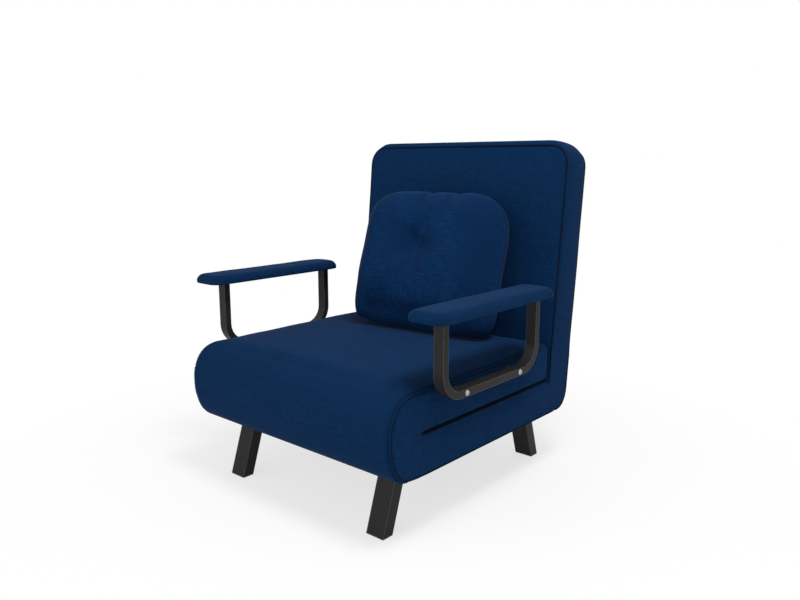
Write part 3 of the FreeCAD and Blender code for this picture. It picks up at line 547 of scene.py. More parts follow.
def cap_inside(ring: Points, steps: tuple[int, int]) -> Points:
    """Fill a four-sided ring with an even grid.

    Args:
        ring: The closed ring's points.
        steps: Steps along the bottom and along the rear.

    Returns:
        The inner grid's points, row by row from the front.
    """
    across, up = steps
    closed = np.concatenate([ring, ring[:1]])
    bottom, rear = closed[:across + 1], closed[across:across + up + 1]
    top = closed[across + up:2 * across + up + 1][::-1]
    front = closed[2 * across + up:][::-1]
    s = np.linspace(0, 1, across + 1)[:, None, None]
    t = np.linspace(0, 1, up + 1)[None, :, None]
    ruled = (1 - t) * bottom[:, None] + t * top[:, None] + (1 - s) * front[None] + s * rear[None]
    corners = (1 - s) * ((1 - t) * bottom[0] + t * top[0]) + s * ((1 - t) * bottom[-1] + t * top[-1])
    return (ruled - corners)[1:-1, 1:-1].reshape(-1, 3)


def new_object(name: str, points: Points, faces: list, material: bpy.types.Material) -> bpy.types.Object:
    """Make a smooth mesh object.

    Args:
        name: The piece's name.
        points: Vertex places in millimetres.
        faces: Vertex numbers of each face.
        material: The piece's material.

    Returns:
        The new object, linked to the scene.
    """
    mesh = bpy.data.meshes.new(name)
    mesh.from_pydata((np.asarray(points, float) * MM).tolist(), [], faces)
    mesh.update()
    mesh.polygons.foreach_set("use_smooth", np.ones(len(mesh.polygons), bool))
    mesh.materials.append(material)
    obj = bpy.data.objects.new(name, mesh)
    bpy.context.scene.collection.objects.link(obj)
    return obj


def quads(numbers: Points) -> Points:
    """Return the four-sided faces of a grid of vertex numbers."""
    corners = (numbers[:-1, :-1], numbers[1:, :-1], numbers[1:, 1:], numbers[:-1, 1:])
    return np.stack(corners, -1).reshape(-1, 4)


def loft(name: str, rings: Sequence[Points], steps: tuple[int, int], finish: Finish) -> bpy.types.Object:
    """Join rings into a closed form with a gridded cap at each end.

    Args:
        name: The piece's name.
        rings: Rings of 3-D points in millimetres, all of one length.
        steps: Steps along the ring's bottom and rear runs, for the caps.
        finish: The piece's finish.

    Returns:
        The new object.
    """
    across, up = steps
    size = len(rings[0])
    wall = np.arange(len(rings) * size).reshape(-1, size)
    faces = quads(np.column_stack([wall, wall[:, 0]])).tolist()
    points = list(rings)
    count = wall.size
    for ring, start, way in ((rings[0], 0, 1), (rings[-1], wall[-1, 0], -1)):
        inside = cap_inside(ring, steps)
        grid = np.empty((across + 1, up + 1), int)
        grid[:, 0] = start + np.arange(across + 1)
        grid[across] = start + across + np.arange(up + 1)
        grid[::-1, up] = start + across + up + np.arange(across + 1)
        grid[0, ::-1] = start + (2 * across + up + np.arange(up + 1)) % size
        grid[1:-1, 1:-1] = count + np.arange(len(inside)).reshape(across - 1, up - 1)
        faces += quads(grid)[:, ::way].tolist()
        points.append(inside)
        count += len(inside)
    obj = new_object(name, np.concatenate(points), faces, finish.material())
    outward = bmesh.new()
    outward.from_mesh(obj.data)
    bmesh.ops.recalc_face_normals(outward, faces=outward.faces)
    outward.to_mesh(obj.data)
    outward.free()
    return obj


def hoop(centre: Points, radius: float, one: Points, other: Points, sides: int) -> Points:
    """Return a ring of points about a centre, in the plane of two unit ways."""
    turn = 2.0 * math.pi * np.arange(sides)[:, None] / sides
    return centre + radius * (one * np.cos(turn) + other * np.sin(turn))


def capped(start: int, count: int, sides: int) -> list[list[int]]:
    """Close a tube whose rings follow each other.

    Args:
        start: The first ring's first vertex number.
        count: How many rings there are.
        sides: How many vertices each ring has.

    Returns:
        The faces of the tube's wall and its two ends.
    """
    rings = start + np.arange(count * sides).reshape(count, sides)
    wall = quads(np.column_stack([rings, rings[:, 0]]))[:, ::-1]
    return wall.tolist() + [rings[0][::-1].tolist(), rings[-1].tolist()]


def tube(name: str, path: Points, radius: float, finish: Finish) -> bpy.types.Object:
    """Sweep a round cord along a path.

    Args:
        name: The piece's name.
        path: Points in millimetres, one row each.
        radius: The cord's radius in millimetres.
        finish: The cord's finish.

    Returns:
        The new object.
    """
    along = ways(path)
    across = np.cross(along[0], CORD_START)
    rings = []
    for here, way in zip(path, along):
        across = across - way * np.dot(across, way)
        across /= np.linalg.norm(across)
        rings.append(hoop(here, radius, across, np.cross(way, across), CORD_SIDES))
    return new_object(name, np.concatenate(rings), capped(0, len(path), CORD_SIDES), finish.material())


def places(mesh: bpy.types.Mesh) -> Points:
    """Read a mesh's vertex places.

    Args:
        mesh: The mesh.

    Returns:
        The places in millimetres.
    """
    flat = np.empty(len(mesh.vertices) * 3)
    mesh.vertices.foreach_get("co", flat)
    return flat.reshape(-1, 3) / MM


def put(obj: bpy.types.Object, points: Points) -> None:
    """Give an object's vertices their places in millimetres."""
    obj.data.vertices.foreach_set("co", (points * MM).ravel())
    obj.data.update()


def stuffed(obj: bpy.types.Object, held: Points, most: Points | float, pressure: float, slack: float,
            frames: int = 20) -> None:
    """Fill a closed cover by cloth simulation and keep the shape that it takes.

    Args:
        obj: The cover's mesh.
        held: Each vertex's hold, from 0, loose, to 1, sewn down.
        most: The most that a vertex may move, in millimetres.
        pressure: The filling's pressure.
        slack: Share by which the cloth is cut larger than the form.
        frames: How many frames the filling takes.
    """
    rest = places(obj.data)
    group = obj.vertex_groups.new(name="sewn")
    for index in np.flatnonzero(held > LOOSE).tolist():
        group.add([index], float(held[index]), "REPLACE")
    cloth = obj.modifiers.new("filling", "CLOTH")
    settings = {"quality": 5, "mass": 0.3, "tension_stiffness": 15.0, "compression_stiffness": 15.0,
                "shear_stiffness": 5.0, "bending_stiffness": 0.4, "use_pressure": True,
                "uniform_pressure_force": pressure, "shrink_min": -slack, "vertex_group_mass": "sewn"}
    for name, value in settings.items():
        setattr(cloth.settings, name, value)
    cloth.settings.effector_weights.gravity = 0.0
    cloth.collision_settings.use_collision = False
    cloth.collision_settings.use_self_collision = False
    cloth.point_cache.frame_start = 1
    cloth.point_cache.frame_end = frames
    scene = bpy.context.scene
    for frame in range(1, frames + 1):
        scene.frame_set(frame)
    move = places(obj.evaluated_get(bpy.context.evaluated_depsgraph_get()).data) - rest
    reach = np.maximum(np.linalg.norm(move, axis=1), STILL)
    obj.modifiers.remove(cloth)
    obj.vertex_groups.clear()
    scene.frame_set(1)
    put(obj, rest + move * (most * np.tanh(reach / most) / reach)[:, None])


def relaxed(obj: bpy.types.Object, times: int) -> None:
    """Even out a form's creases and keep its overall size.

    Args:
        obj: The mesh object.
        times: How many times each point moves towards its neighbours.
    """
    before = places(obj.data)
    soft = bmesh.new()
    soft.from_mesh(obj.data)
    for _ in range(times):
        bmesh.ops.smooth_vert(soft, verts=soft.verts, factor=0.5,
                              use_axis_x=True, use_axis_y=True, use_axis_z=True)
    soft.to_mesh(obj.data)
    soft.free()
    after = places(obj.data)
    share = (after - after.min(0)) / (after.max(0) - after.min(0))
    put(obj, before.min(0) + share * (before.max(0) - before.min(0)))


def refined(obj: bpy.types.Object, crisp: Mover | None = None, sharp_deg: float = 55.0) -> None:
    """Subdivide a finished form once and keep the result as its mesh.

    Args:
        obj: The mesh object.
        crisp: Tells which places in millimetres lie on an edge that stays sharp.
        sharp_deg: The angle from which an edge is shaded as sharp.
    """
    if crisp is not None:
        ends = np.empty(len(obj.data.edges) * 2, int)
        obj.data.edges.foreach_get("vertices", ends)
        crease = obj.data.attributes.new("crease_edge", "FLOAT", "EDGE")
        chosen = crisp(places(obj.data))[ends.reshape(-1, 2)].all(1)
        crease.data.foreach_set("value", chosen.astype(float))
    step = obj.modifiers.new("rounding", "SUBSURF")
    step.levels = 1
    step.render_levels = 1
    mesh = bpy.data.meshes.new_from_object(obj.evaluated_get(bpy.context.evaluated_depsgraph_get()))
    mesh.name = obj.name
    obj.modifiers.remove(step)
    mesh.set_sharp_from_angle(angle=math.radians(sharp_deg))
    old = obj.data
    obj.data = mesh
    bpy.data.meshes.remove(old)


def laid_on(cover: bpy.types.Object, path: Points, lift: float) -> tuple[Points, Points]:
    """Lay a path on a finished cover.

    Args:
        cover: The cover's mesh object.
        path: Points near the cover, in millimetres.
        lift: How far above the cloth the path runs.

    Returns:
        The laid points and the way out of the cloth at each.
    """
    tree = BVHTree.FromObject(cover, bpy.context.evaluated_depsgraph_get())
    found = [tree.find_nearest(Vector(point * MM)) for point in path]
    out = np.array([normal for _, normal, _, _ in found])
    return np.array([spot for spot, _, _, _ in found]) / MM + out * lift, out


def box_mm(node: str) -> tuple[Points, Points]:
    """Return a frame node's lowest and highest corners in millimetres."""
    low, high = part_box(node)
    return np.array(low) / MM, np.array(high) / MM


def widths(half: float, edge: float) -> list[Pair]:
    """Space stations across a cushion with rounded ends.

    Args:
        half: Half the cushion's width.
        edge: The rounding's radius at both ends.

    Returns:
        Each station's x and how far its outline is drawn in.
    """
    turns = np.radians(EDGE_TURNS)
    left = [(-half + edge * (1.0 - math.sin(a)), edge * (1.0 - math.cos(a))) for a in turns]
    middle = np.linspace(-half + edge, half - edge, int(2 * (half - edge) / STATION_PITCH) + 1)
    return left + [(float(x), 0.0) for x in middle] + [(-x, d) for x, d in reversed(left)]


def wrapped(name: str, outline: Callable[[float], Section], half: float, edge: float,
            share: Mover) -> bpy.types.Object:
    """Build a cushion's cover from its side profiles.

    Args:
        name: The piece's name.
        outline: Gives the side profile at a place across the cushion.
        half: Half the cushion's width.
        edge: The rounding's radius at both sides.
        share: Gives each point of a profile its share of that rounding along either axis.

    Returns:
        The cover, closed at both sides.
    """
    stations = widths(half, edge)
    sections = [outline(x) for x, _ in stations]
    rings = [at_x(x, section.drawn_in(d, share)) for (x, d), section in zip(stations, sections)]
    return loft(name, rings, sections[0].counts(), Finish.CUSHION)


def bulged(points: Points, half: float, heights: Pair, swell: float, band: Pair = (-3.0, 0.0)) -> Points:
    """Swell a cushion's side panels.

    Args:
        points: The cover's places.
        half: Half the cushion's width.
        heights: The panels' lowest and highest z.
        swell: How far the panels swell at half their height.
        band: Where the swelling starts and is full, from the panels on.

    Returns:
        The new places.
    """
    moved = points.copy()
    up = (points[:, 2] - heights[0]) / (heights[1] - heights[0])
    side = np.sign(points[:, 0]) * eased(np.abs(points[:, 0]), half, band)
    moved[:, 0] += side * swell * domed(2.0 * up - 1.0)
    return moved


def leaned(points: Points, lean: float) -> Points:
    """Lean upright places backwards.

    Args:
        points: Places as x, depth and height.
        lean: The angle in radians.

    Returns:
        Places as x, y and z.
    """
    x, t, h = points.T
    return np.stack([x, t * math.cos(lean) + h * math.sin(lean), h * math.cos(lean) - t * math.sin(lean)], 1)


def dressed(cover: bpy.types.Object, body: Body, slot: Slot, fill: float, *nodes: str) -> None:
    """Let a padded cover ride on its body and stand for its frame nodes.

    Args:
        cover: The cover.
        body: The body that it rides on.
        slot: Not used; the record's slot of its finish.
        fill: Not used; how full it is, from 0 to 1.
        nodes: The nodes that it replaces.
    """
    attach(cover, body.value)
    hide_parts(*nodes)


# Upholstery


@dataclass
class FrontNose:
    """The rounded front that the seat and the base share, as the photograph's side profile shows it."""

    proud: float = 1.6
    shoulder: float = 87.0
    top_depth: float = 71.0
    bottom_depth: float = 57.0
    top_power: float = 2.3
    bottom_power: float = 2.2
    samples: int = 200
    tuck: float = 4.3
    tuck_ease: float = 9.0
    band_low: float = 199.0
    band_high: float = 270.0
    fold: float = 10.0
    lip: tuple[Pair, ...] = ((0.0, 3.0), (1.0, 0.8), (4.0, 0.0))
    slit_start: float = 104.0
    mouth: float = 4.0
    closing: float = 16.0
    slit_hold: float = 0.93

    def __post_init__(self) -> None:
        """Take the nose's place from the frame."""
        pins_low, pins_high = box_mm("front_hinge_pins")
        self.axis_y, self.axis_z = ((pins_low + pins_high) / 2)[1:]
        self.tip = box_mm("front_hinge_seat_leaves")[0][1] - self.proud
        self.low = box_mm("base_pad")[0][2]
        self.high = box_mm("foot_pad")[0][2] + self.shoulder
        self.slit_y = self.tip + self.slit_start

    def at(self, z: Points) -> Points:
        """Find the nose's y.

        Args:
            z: The heights.

        Returns:
            The y at each height.
        """
        y = np.full(len(z), self.tip)
        for end, depth, power in ((self.high, self.top_depth, self.top_power),
                                  (self.low, self.bottom_depth, self.bottom_power)):
            share = np.clip((z - self.axis_z) / (end - self.axis_z), 0.0, 1.0)
            y += depth * (1.0 - (1.0 - share ** power) ** (1.0 / power))
        return y

    def run(self, end: float, depth: float, power: float) -> Points:
        """Follow the nose from the hinge's height to one of its ends.

        Args:
            end: The height of that end.
            depth: How far behind the tip that end lies.
            power: How square the curve is.

        Returns:
            Points as y and z.
        """
        turn = np.linspace(0.0, math.pi / 2, self.samples)
        z = self.axis_z + (end - self.axis_z) * np.sin(turn) ** (2.0 / power)
        return np.stack([self.tip + depth * (1.0 - np.cos(turn) ** (2.0 / power)), z], 1)

    def upper(self, start: float) -> Points:
        """Return the profile from a height up to the seat's top."""
        run = self.run(self.high, self.top_depth, self.top_power)
        return run[run[:, 1] >= start]

    def lower(self, start: float) -> Points:
        """Return the profile from a height down to the base's underside."""
        run = self.run(self.low, self.bottom_depth, self.bottom_power)
        return run[run[:, 1] <= start]

    def tucked(self, run: Points) -> Points:
        """Draw a profile back where the front band covers it.

        Args:
            run: The profile's points.

        Returns:
            The new points.
        """
        z = run[:, 1]
        covered = eased(z, self.band_low, (0.0, self.tuck_ease))
        covered = covered * (1.0 - eased(z, self.band_high, (-self.tuck_ease, 0.0)))
        return run + np.stack([self.tuck * covered, np.zeros(len(z))], 1)

    def lip_at(self, y: float, z: float, way: float) -> Points:
        """Return the small round from the front onto the face where seat and base meet."""
        return np.array([(y + back, z + rise * way) for back, rise in self.lip])

    def squared(self, y: Points, near: Points) -> Points:
        """Return the little side rounding left near the slit, and none where seat and base meet."""
        closed = 1.0 - eased(y, self.slit_y, (-self.closing, 0.0))
        return 1.0 - near * (self.slit_hold + (1.0 - self.slit_hold) * closed)

    def folded(self, piece: bpy.types.Object) -> None:
        """Bake a piece of the front's placement into its mesh.

        Args:
            piece: The piece.
        """
        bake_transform(piece)


@dataclass
class SeatCushion:
    """The seat section's cover: one wrap over top, front and underside, and a boxed panel on each side."""

    nose: FrontNose
    edge: float = 12.0
    crown: float = 7.0
    crown_fade: float = 0.85
    crown_band: float = 30.0
    lump: Pair = (95.0, 1.2)
    lump_band: float = 60.0
    fill: float = 0.85
    side_swell: float = 2.5
    under_room: float = 0.2
    meeting_z: float = 230.04
    front_split: float = 58.0
    rear_round: float = 14.0
    foot_round: float = 7.0
    upright_points: int = 13
    seam_hold: Pair = (-16.0, -5.0)
    foot_hold: Pair = (-40.0, -12.0)
    rear_hold: Pair = (-14.0, -2.0)
    top_depth: float = 4.0
    top_most: float = 7.0
    side_most: float = 2.0
    square_band: Pair = (1.0, 14.0)

    def __post_init__(self) -> None:
        """Take the seat's place from the frame."""
        self.half, self.rear, _ = box_mm("seat_pad")[1]
        self.bottom = box_mm("foot_pad")[0][2] + self.under_room
        self.top = self.nose.high

    def section(self) -> Section:
        """Draw the side profile.

        Returns:
            The profile's four runs.
        """
        nose, r, q = self.nose, self.rear_round, self.foot_round
        rise = nose.tucked(nose.upper(self.meeting_z + nose.lip[0][1]))
        split = nearest(rise[:, 1], nose.axis_z + self.front_split)
        lip = nose.lip_at(rise[0, 0], self.meeting_z, 1.0)
        head, heel = (self.rear - r, self.top - r), (self.rear - q, self.bottom + q)
        mouth = np.array([(nose.slit_y - nose.mouth, self.meeting_z), (nose.slit_y, self.bottom)])
        under = np.concatenate([mouth[-1:], [(heel[0], self.bottom)], arc(heel, q, -80.0, -45.0, 3)])
        bottom = joined((np.concatenate([lip[1:], mouth[:1]]), CLOSED_POINTS), (mouth, MOUTH_POINTS),
                        (under, OPEN_POINTS))
        back = arcs((heel, q, -45.0, 0.0, 3), (head, r, 0.0, 45.0, 4))
        lid = np.concatenate([arc(head, r, 45.0, 90.0, 4), rise[split:][::-1]])
        front = np.concatenate([rise[:split + 1][::-1], lip[:2]])
        return Section(bottom, evenly(back, self.upright_points), evenly(lid, LENGTH_POINTS),
                       evenly(front, self.upright_points))

    def build(self) -> bpy.types.Object:
        """Build, fill and dress the seat's cover.

        Returns:
            The cover.
        """
        outline = self.section()
        cover = wrapped("seat_cushion_cover", lambda x: outline, self.half, self.edge, self.rounding)
        put(cover, self.swollen(places(cover.data)))
        now = places(cover.data)
        most = np.where(now[:, 2] > self.top - self.top_depth, self.top_most, self.side_most)
        stuffed(cover, self.sewn(now), most, pressure=3.0, slack=0.004)
        refined(cover, self.crisp)
        dressed(cover, Body.SEAT, Slot.CUSHION, self.fill, "seat_pad", "foot_pad")
        return cover

    def rounding(self, ring: Points) -> Points:
        """Return how much of the side rounding each place takes along either axis."""
        low = 1.0 - eased(ring[:, 1], self.bottom, self.square_band)
        return np.stack([np.ones(len(ring)), self.nose.squared(ring[:, 0], low)], 1)

    def crisp(self, points: Points) -> Points:
        """Return whether each place lies on the sharp edge along either side of the underside."""
        return (np.abs(points[:, 0]) > self.half - PANEL_BAND) & (points[:, 2] < self.bottom + FACE_BAND)

    def swollen(self, points: Points) -> Points:
        """Crown the top, swell the sides and make the top a little uneven.

        Args:
            points: The cover's places.

        Returns:
            The new places.
        """
        x, y, z = points.T
        moved = bulged(points, self.half, (self.bottom, self.top), self.side_swell)
        reach = (self.rear - self.nose.tip) / 2
        along = domed((y - self.nose.tip - reach) / reach)
        across = 1.0 - self.crown_fade * (x / self.half) ** 2
        moved[:, 2] += self.crown * across * along * eased(z, self.top, (-self.crown_band, 0.0))
        moved[:, 2] += uneven(points, *self.lump) * eased(z, self.top, (-self.lump_band, 0.0))
        return moved

    def sewn(self, points: Points) -> Points:
        """Find how firmly each place is held by the seams, the frame and the hinge.

        Args:
            points: The cover's places.

        Returns:
            A hold from 0 to 1 for each.
        """
        seam = eased(np.abs(points[:, 0]), self.half, self.seam_hold)
        foot = 1.0 - eased(points[:, 2], self.top, self.foot_hold)
        rear = eased(points[:, 1], self.rear, self.rear_hold)
        return np.maximum(np.maximum(seam, foot), rear)


@dataclass
class Recline:
    """The axis that the back turns about, and how far the back leans at rest."""

    lean_deg: float = 5.25
    radius: float = 48.0

    def __post_init__(self) -> None:
        """Take the axis from the frame."""
        low, high = box_mm("recline_pins")
        self.y, self.z = ((low + high) / 2)[1:]
        self.lean = math.radians(self.lean_deg)

    def placed(self, points: Points) -> Points:
        """Return places given upright about the axis, as x, depth and height, leaned into the chair."""
        return leaned(points, self.lean) + (0.0, self.y, self.z)

    def slab_y(self, z: float, at_axis: float) -> float:
        """Return the y of a plane that leans with the back, at a height."""
        return at_axis + (z - self.z) * math.tan(self.lean)

    def away(self, y: Points, z: Points) -> Points:
        """Return how far places lie outside the back's round foot."""
        return np.hypot(y - self.y, z - self.z) - self.radius


@dataclass
class BaseCushion:
    """The base's cover: rounded front underside, flat lid under the seat, hollow rear for the back's foot."""

    nose: FrontNose
    pivot: Recline
    edge: float = 12.0
    side_swell: float = 2.0
    meeting_z: float = 230.0
    front_split: float = 22.0
    fill: float = 0.9
    drum_room: float = 0.3
    drum_arc: int = 16
    tail: float = 9.0
    heel_run: float = 4.0
    lid_room: float = 3.5
    # The rear top corner's points, from where the lid's plane meets the back's
    rim: tuple[Pair, ...] = ((-1.0, -12.0), (0.0, -3.0), (-1.0, -0.9), (-4.0, 0.0))
    upright_points: int = 15
    square_band: Pair = (-14.0, -1.0)
    drum_edge: float = 3.0
    tip_edge: float = 1.0
    drum_band: Pair = (4.0, 40.0)
    foot_band: Pair = (2.0, 30.0)
    foot_start: Pair = (20.0, 90.0)
    foot_hold: float = 0.88

    def __post_init__(self) -> None:
        """Take the base's place from the frame."""
        low, high = box_mm("base_pad")
        self.half, _, self.top = high
        self.bottom = low[2]

    def section(self) -> Section:
        """Draw the side profile round the back's foot.

        Returns:
            The profile's four runs.
        """
        nose, pivot, top = self.nose, self.pivot, self.top
        fall = nose.tucked(nose.lower(self.meeting_z - nose.lip[0][1]))
        split = nearest(fall[:, 1], self.bottom + self.front_split)
        lip = nose.lip_at(fall[0, 0], self.meeting_z, -1.0)
        radius = pivot.radius + self.drum_room
        start = 180.0 + math.degrees(math.acos(self.tail / radius))
        heel = (pivot.y - self.tail, self.bottom)
        corner = pivot.slab_y(top, pivot.y - (pivot.radius + self.lid_room) / math.cos(pivot.lean))
        rim = np.array(self.rim) + (corner, top)
        bottom = np.concatenate([fall[split:], [(heel[0] - self.heel_run, heel[1]), heel]])
        rear = np.concatenate([[heel], arc((pivot.y, pivot.z), radius, start, 180.0, self.drum_arc), rim[:3]])
        mouth = np.array([(nose.slit_y, top), (nose.slit_y - nose.mouth, self.meeting_z)])
        lid = joined((np.concatenate([rim[2:], mouth[:1]]), OPEN_POINTS), (mouth, MOUTH_POINTS),
                     (np.concatenate([mouth[1:], lip[:0:-1]]), CLOSED_POINTS))
        front = np.concatenate([lid[-1:], fall[:split + 1]])
        return Section(evenly(bottom, LENGTH_POINTS), evenly(rear, self.upright_points), lid,
                       evenly(front, self.upright_points))

    def build(self) -> bpy.types.Object:
        """Build and dress the base's cover.

        Returns:
            The cover.
        """
        outline = self.section()
        cover = wrapped("base_cushion_cover", lambda x: outline, self.half, self.edge, self.rounding)
        put(cover, bulged(places(cover.data), self.half, (self.bottom, self.top), self.side_swell))
        refined(cover, self.crisp)
        dressed(cover, Body.BASE, Slot.CUSHION, self.fill, "base_pad")
        return cover

    def rounding(self, ring: Points) -> Points:
        """Share out the side rounding: none beside the back's foot or the seat, little along the floor.

        Args:
            ring: The profile's points.

        Returns:
            The share of each along either axis.
        """
        y, z = ring.T
        high = eased(z, self.top, self.square_band)
        free = smooth(self.pivot.away(y, z), *self.drum_band)
        low = 1.0 - eased(z, self.bottom, self.foot_band)
        foot = 1.0 - self.foot_hold * low * eased(y, self.nose.tip, self.foot_start)
        return np.stack([free, np.minimum(free, foot) * self.nose.squared(y, high)], 1)

    def crisp(self, points: Points) -> Points:
        """Find the edges that stay sharp: beside the seat and the back's foot, and the thin tip under it.

        Args:
            points: The cover's places.

        Returns:
            Whether each place lies on such an edge.
        """
        x, y, z = points.T
        drum = (self.pivot.away(y, z) < self.drum_edge) & (y < self.pivot.y)
        tip = (y > self.pivot.y - self.tail - self.tip_edge) & (z < self.bottom + FACE_BAND)
        return (np.abs(x) > self.half - PANEL_BAND) & ((z > self.top - FACE_BAND) | drum) | tip


@dataclass
class FrontBand:
    """The strip of the wrap that crosses the front hinges."""

    nose: FrontNose
    seat: SeatCushion
    lift: float = 0.5
    sink: float = 0.8
    thick: float = 1.5
    thin_share: float = 0.15
    rows: int = 30
    overlap: float = 5.0
    wrap: float = 5.0
    end_ease: float = 8.0

    def build(self) -> bpy.types.Object:
        """Build and dress the band: an outer and an inner layer, joined round the rim.

        Returns:
            The band.
        """
        nose, rows, half = self.nose, self.rows, self.seat.half
        z = np.linspace(nose.band_low - self.overlap, nose.band_high + self.overlap, rows)
        path = np.stack([nose.at(z), z], 1)
        out = left_of(ways(path))
        end = eased(z, z[0], (0.0, self.end_ease)) * (1.0 - eased(z, z[-1], (-self.end_ease, 0.0)))
        stations = widths(half, self.seat.edge)
        x, d = stations[0]
        stations = [(x, d + self.wrap)] + stations + [(-x, d + self.wrap)]
        points = []
        for depth in (0.0, self.thick):
            fall = self.sink * (1.0 - end) + depth * (self.thin_share + (1.0 - self.thin_share) * end)
            for x, d in stations:
                side = (self.lift - depth) * np.sign(x) * (abs(x) > half - PANEL_BAND)
                points.append(at_x(x + side, path + out * (self.lift * end - fall - d)[:, None]))
        outer = np.arange(len(stations) * rows).reshape(-1, rows)
        rim = np.concatenate([outer[:, 0], outer[-1, 1:], outer[-2::-1, -1], outer[0, -2:0:-1], outer[:1, 0]])
        faces = quads(outer).tolist() + quads(outer + outer.size)[:, ::-1].tolist()
        faces += quads(np.stack([rim, rim + outer.size])).tolist()
        band = new_object("front_fold_band", np.concatenate(points), faces, Finish.CUSHION.material())
        nose.folded(band)
        return band


@dataclass
class BackCushion:
    """The back's cover: crowned front panel, boxing all round, and a rounded foot about the recline axis."""

    pivot: Recline
    height: float = 610.0
    corner: float = 56.0
    edge: float = 10.0
    rim: float = 13.0
    fill: float = 0.85
    dome: float = 5.0
    dome_band: float = 40.0
    crown: float = 9.0
    rear_crown: float = 4.0
    crown_start: float = 120.0
    panel_band: float = 10.0
    lump: Pair = (120.0, 1.4)
    side_swell: float = 5.0
    side_band: float = 30.0
    side_rise: Pair = (60.0, 240.0)
    boxing_least: float = 0.35
    free_height: Pair = (40.0, 150.0)
    free_depth: Pair = (10.0, 40.0)
    rear_share: float = 0.4
    foot_arc: int = 16
    side_arc: int = 8
    rim_arc: int = 5
    seam_arc: int = 14
    end_points: int = 12
    panel_points: int = 64
    cord: float = 1.9
    cord_lift: float = 0.7
    seam_side: float = 0.5
    seam_top: float = 11.0
    seam_corner: float = 44.0
    seam_depth: float = 45.0
    seam_points: int = 300
    front_foot: float = 30.0
    rear_foot_deg: float = -97.0

    def __post_init__(self) -> None:
        """Take the back's width from the frame."""
        self.half = box_mm("back_pad")[1][0]

    def section(self, x: float) -> Section:
        """Draw the upright side profile, lower near the rounded corners.

        Args:
            x: The place across the back.

        Returns:
            The profile's four runs, as depth and height.
        """
        over = max(abs(x) - (self.half - self.corner), 0.0)
        top = self.height - self.corner + math.sqrt(max(self.corner ** 2 - over ** 2, 0.0))
        t, r, rise, turn = self.pivot.radius, self.rim, self.side_arc, self.rim_arc
        foot, behind, before = (0.0, 0.0), (t - r, top - r), (r - t, top - r)
        bottom = arc(foot, t, 225.0, 315.0, self.foot_arc)
        rear = arcs((foot, t, 315.0, 360.0, rise), (behind, r, 0.0, 45.0, turn))
        lid = arcs((behind, r, 45.0, 90.0, turn), (before, r, 90.0, 135.0, turn))
        front = arcs((before, r, 135.0, 180.0, turn), (foot, t, 180.0, 225.0, rise))
        return Section(evenly(bottom, self.end_points), evenly(rear, self.panel_points),
                       evenly(lid, self.end_points), evenly(front, self.panel_points))

    def build(self) -> bpy.types.Object:
        """Build and dress the back's cover.

        Returns:
            The cover.
        """
        cover = wrapped("back_cushion_cover", self.section, self.half, self.edge, self.rounding)
        put(cover, self.pivot.placed(self.swollen(places(cover.data))))
        refined(cover)
        dressed(cover, Body.BACK, Slot.CUSHION, self.fill, "back_pad", "back_rear_pad")
        return cover

    def rounding(self, ring: Points) -> Points:
        """Return each place's share of the side rounding: little beside the base, all above the seat."""
        behind = smooth(ring[:, 0], *self.free_depth) * self.rear_share
        return np.maximum(smooth(ring[:, 1], *self.free_height), behind)[:, None]

    def swollen(self, points: Points) -> Points:
        """Crown the panels and swell the boxing.

        Args:
            points: Upright places as x, depth and height.

        Returns:
            The new places.
        """
        x, t, h = points.T
        moved = points.copy()
        radius = self.pivot.radius
        middle = (self.crown_start + self.height) / 2
        panel = eased(np.abs(t), radius, (-self.panel_band, 0.0))
        panel = panel * domed((h - middle) / (self.height - middle))
        crown = np.where(t < 0.0, -self.crown, self.rear_crown) * (1.0 - (x / self.half) ** 2)
        moved[:, 1] += panel * (crown + uneven(points, *self.lump))
        boxing = self.boxing_least + (1.0 - self.boxing_least) * domed(t / radius)
        side = eased(np.abs(x), self.half, (-self.side_band, 0.0)) * smooth(h, *self.side_rise)
        moved[:, 0] += np.sign(x) * self.side_swell * boxing * side
        moved[:, 2] += self.dome * boxing * eased(h, self.height, (-self.dome_band, 0.0))
        return moved

    def seam(self, depth: float, foot: Points) -> Points:
        """Draw a panel's seam, upright, from the right foot over the top to the left foot.

        Args:
            depth: How far behind the back's middle the seam runs.
            foot: Depth and height of the points that lead up to its straight part on either side.

        Returns:
            Points as x, depth and height.
        """
        half, top, r = self.half - self.seam_side, self.height - self.seam_top, self.seam_corner
        over = arcs(((r - half, top - r), r, 180.0, 90.0, self.seam_arc),
                    ((half - r, top - r), r, 90.0, 0.0, self.seam_arc))
        panel = np.insert(over, 1, depth, 1)
        return evenly(np.concatenate([at_x(-half, foot), panel, at_x(half, foot)[::-1]]), self.seam_points)

    def trim(self, cover: bpy.types.Object) -> list[bpy.types.Object]:
        """Pipe the front and rear panels, and the rear one on round the foot.

        Args:
            cover: The finished cover.

        Returns:
            The two pipings.
        """
        depth = self.seam_depth
        round_foot = arc((0.0, 0.0), depth, self.rear_foot_deg, 0.0, self.foot_arc)
        made = []
        for name, run in (("back_front_piping", self.seam(-depth, np.array([(-depth, self.front_foot)]))),
                          ("back_rear_piping", self.seam(depth, round_foot))):
            path, _ = laid_on(cover, self.pivot.placed(run), self.cord_lift)
            piece = tube(name, path, self.cord, Finish.PIPING)
            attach(piece, Body.BACK.value)
            made.append(piece)
        return made


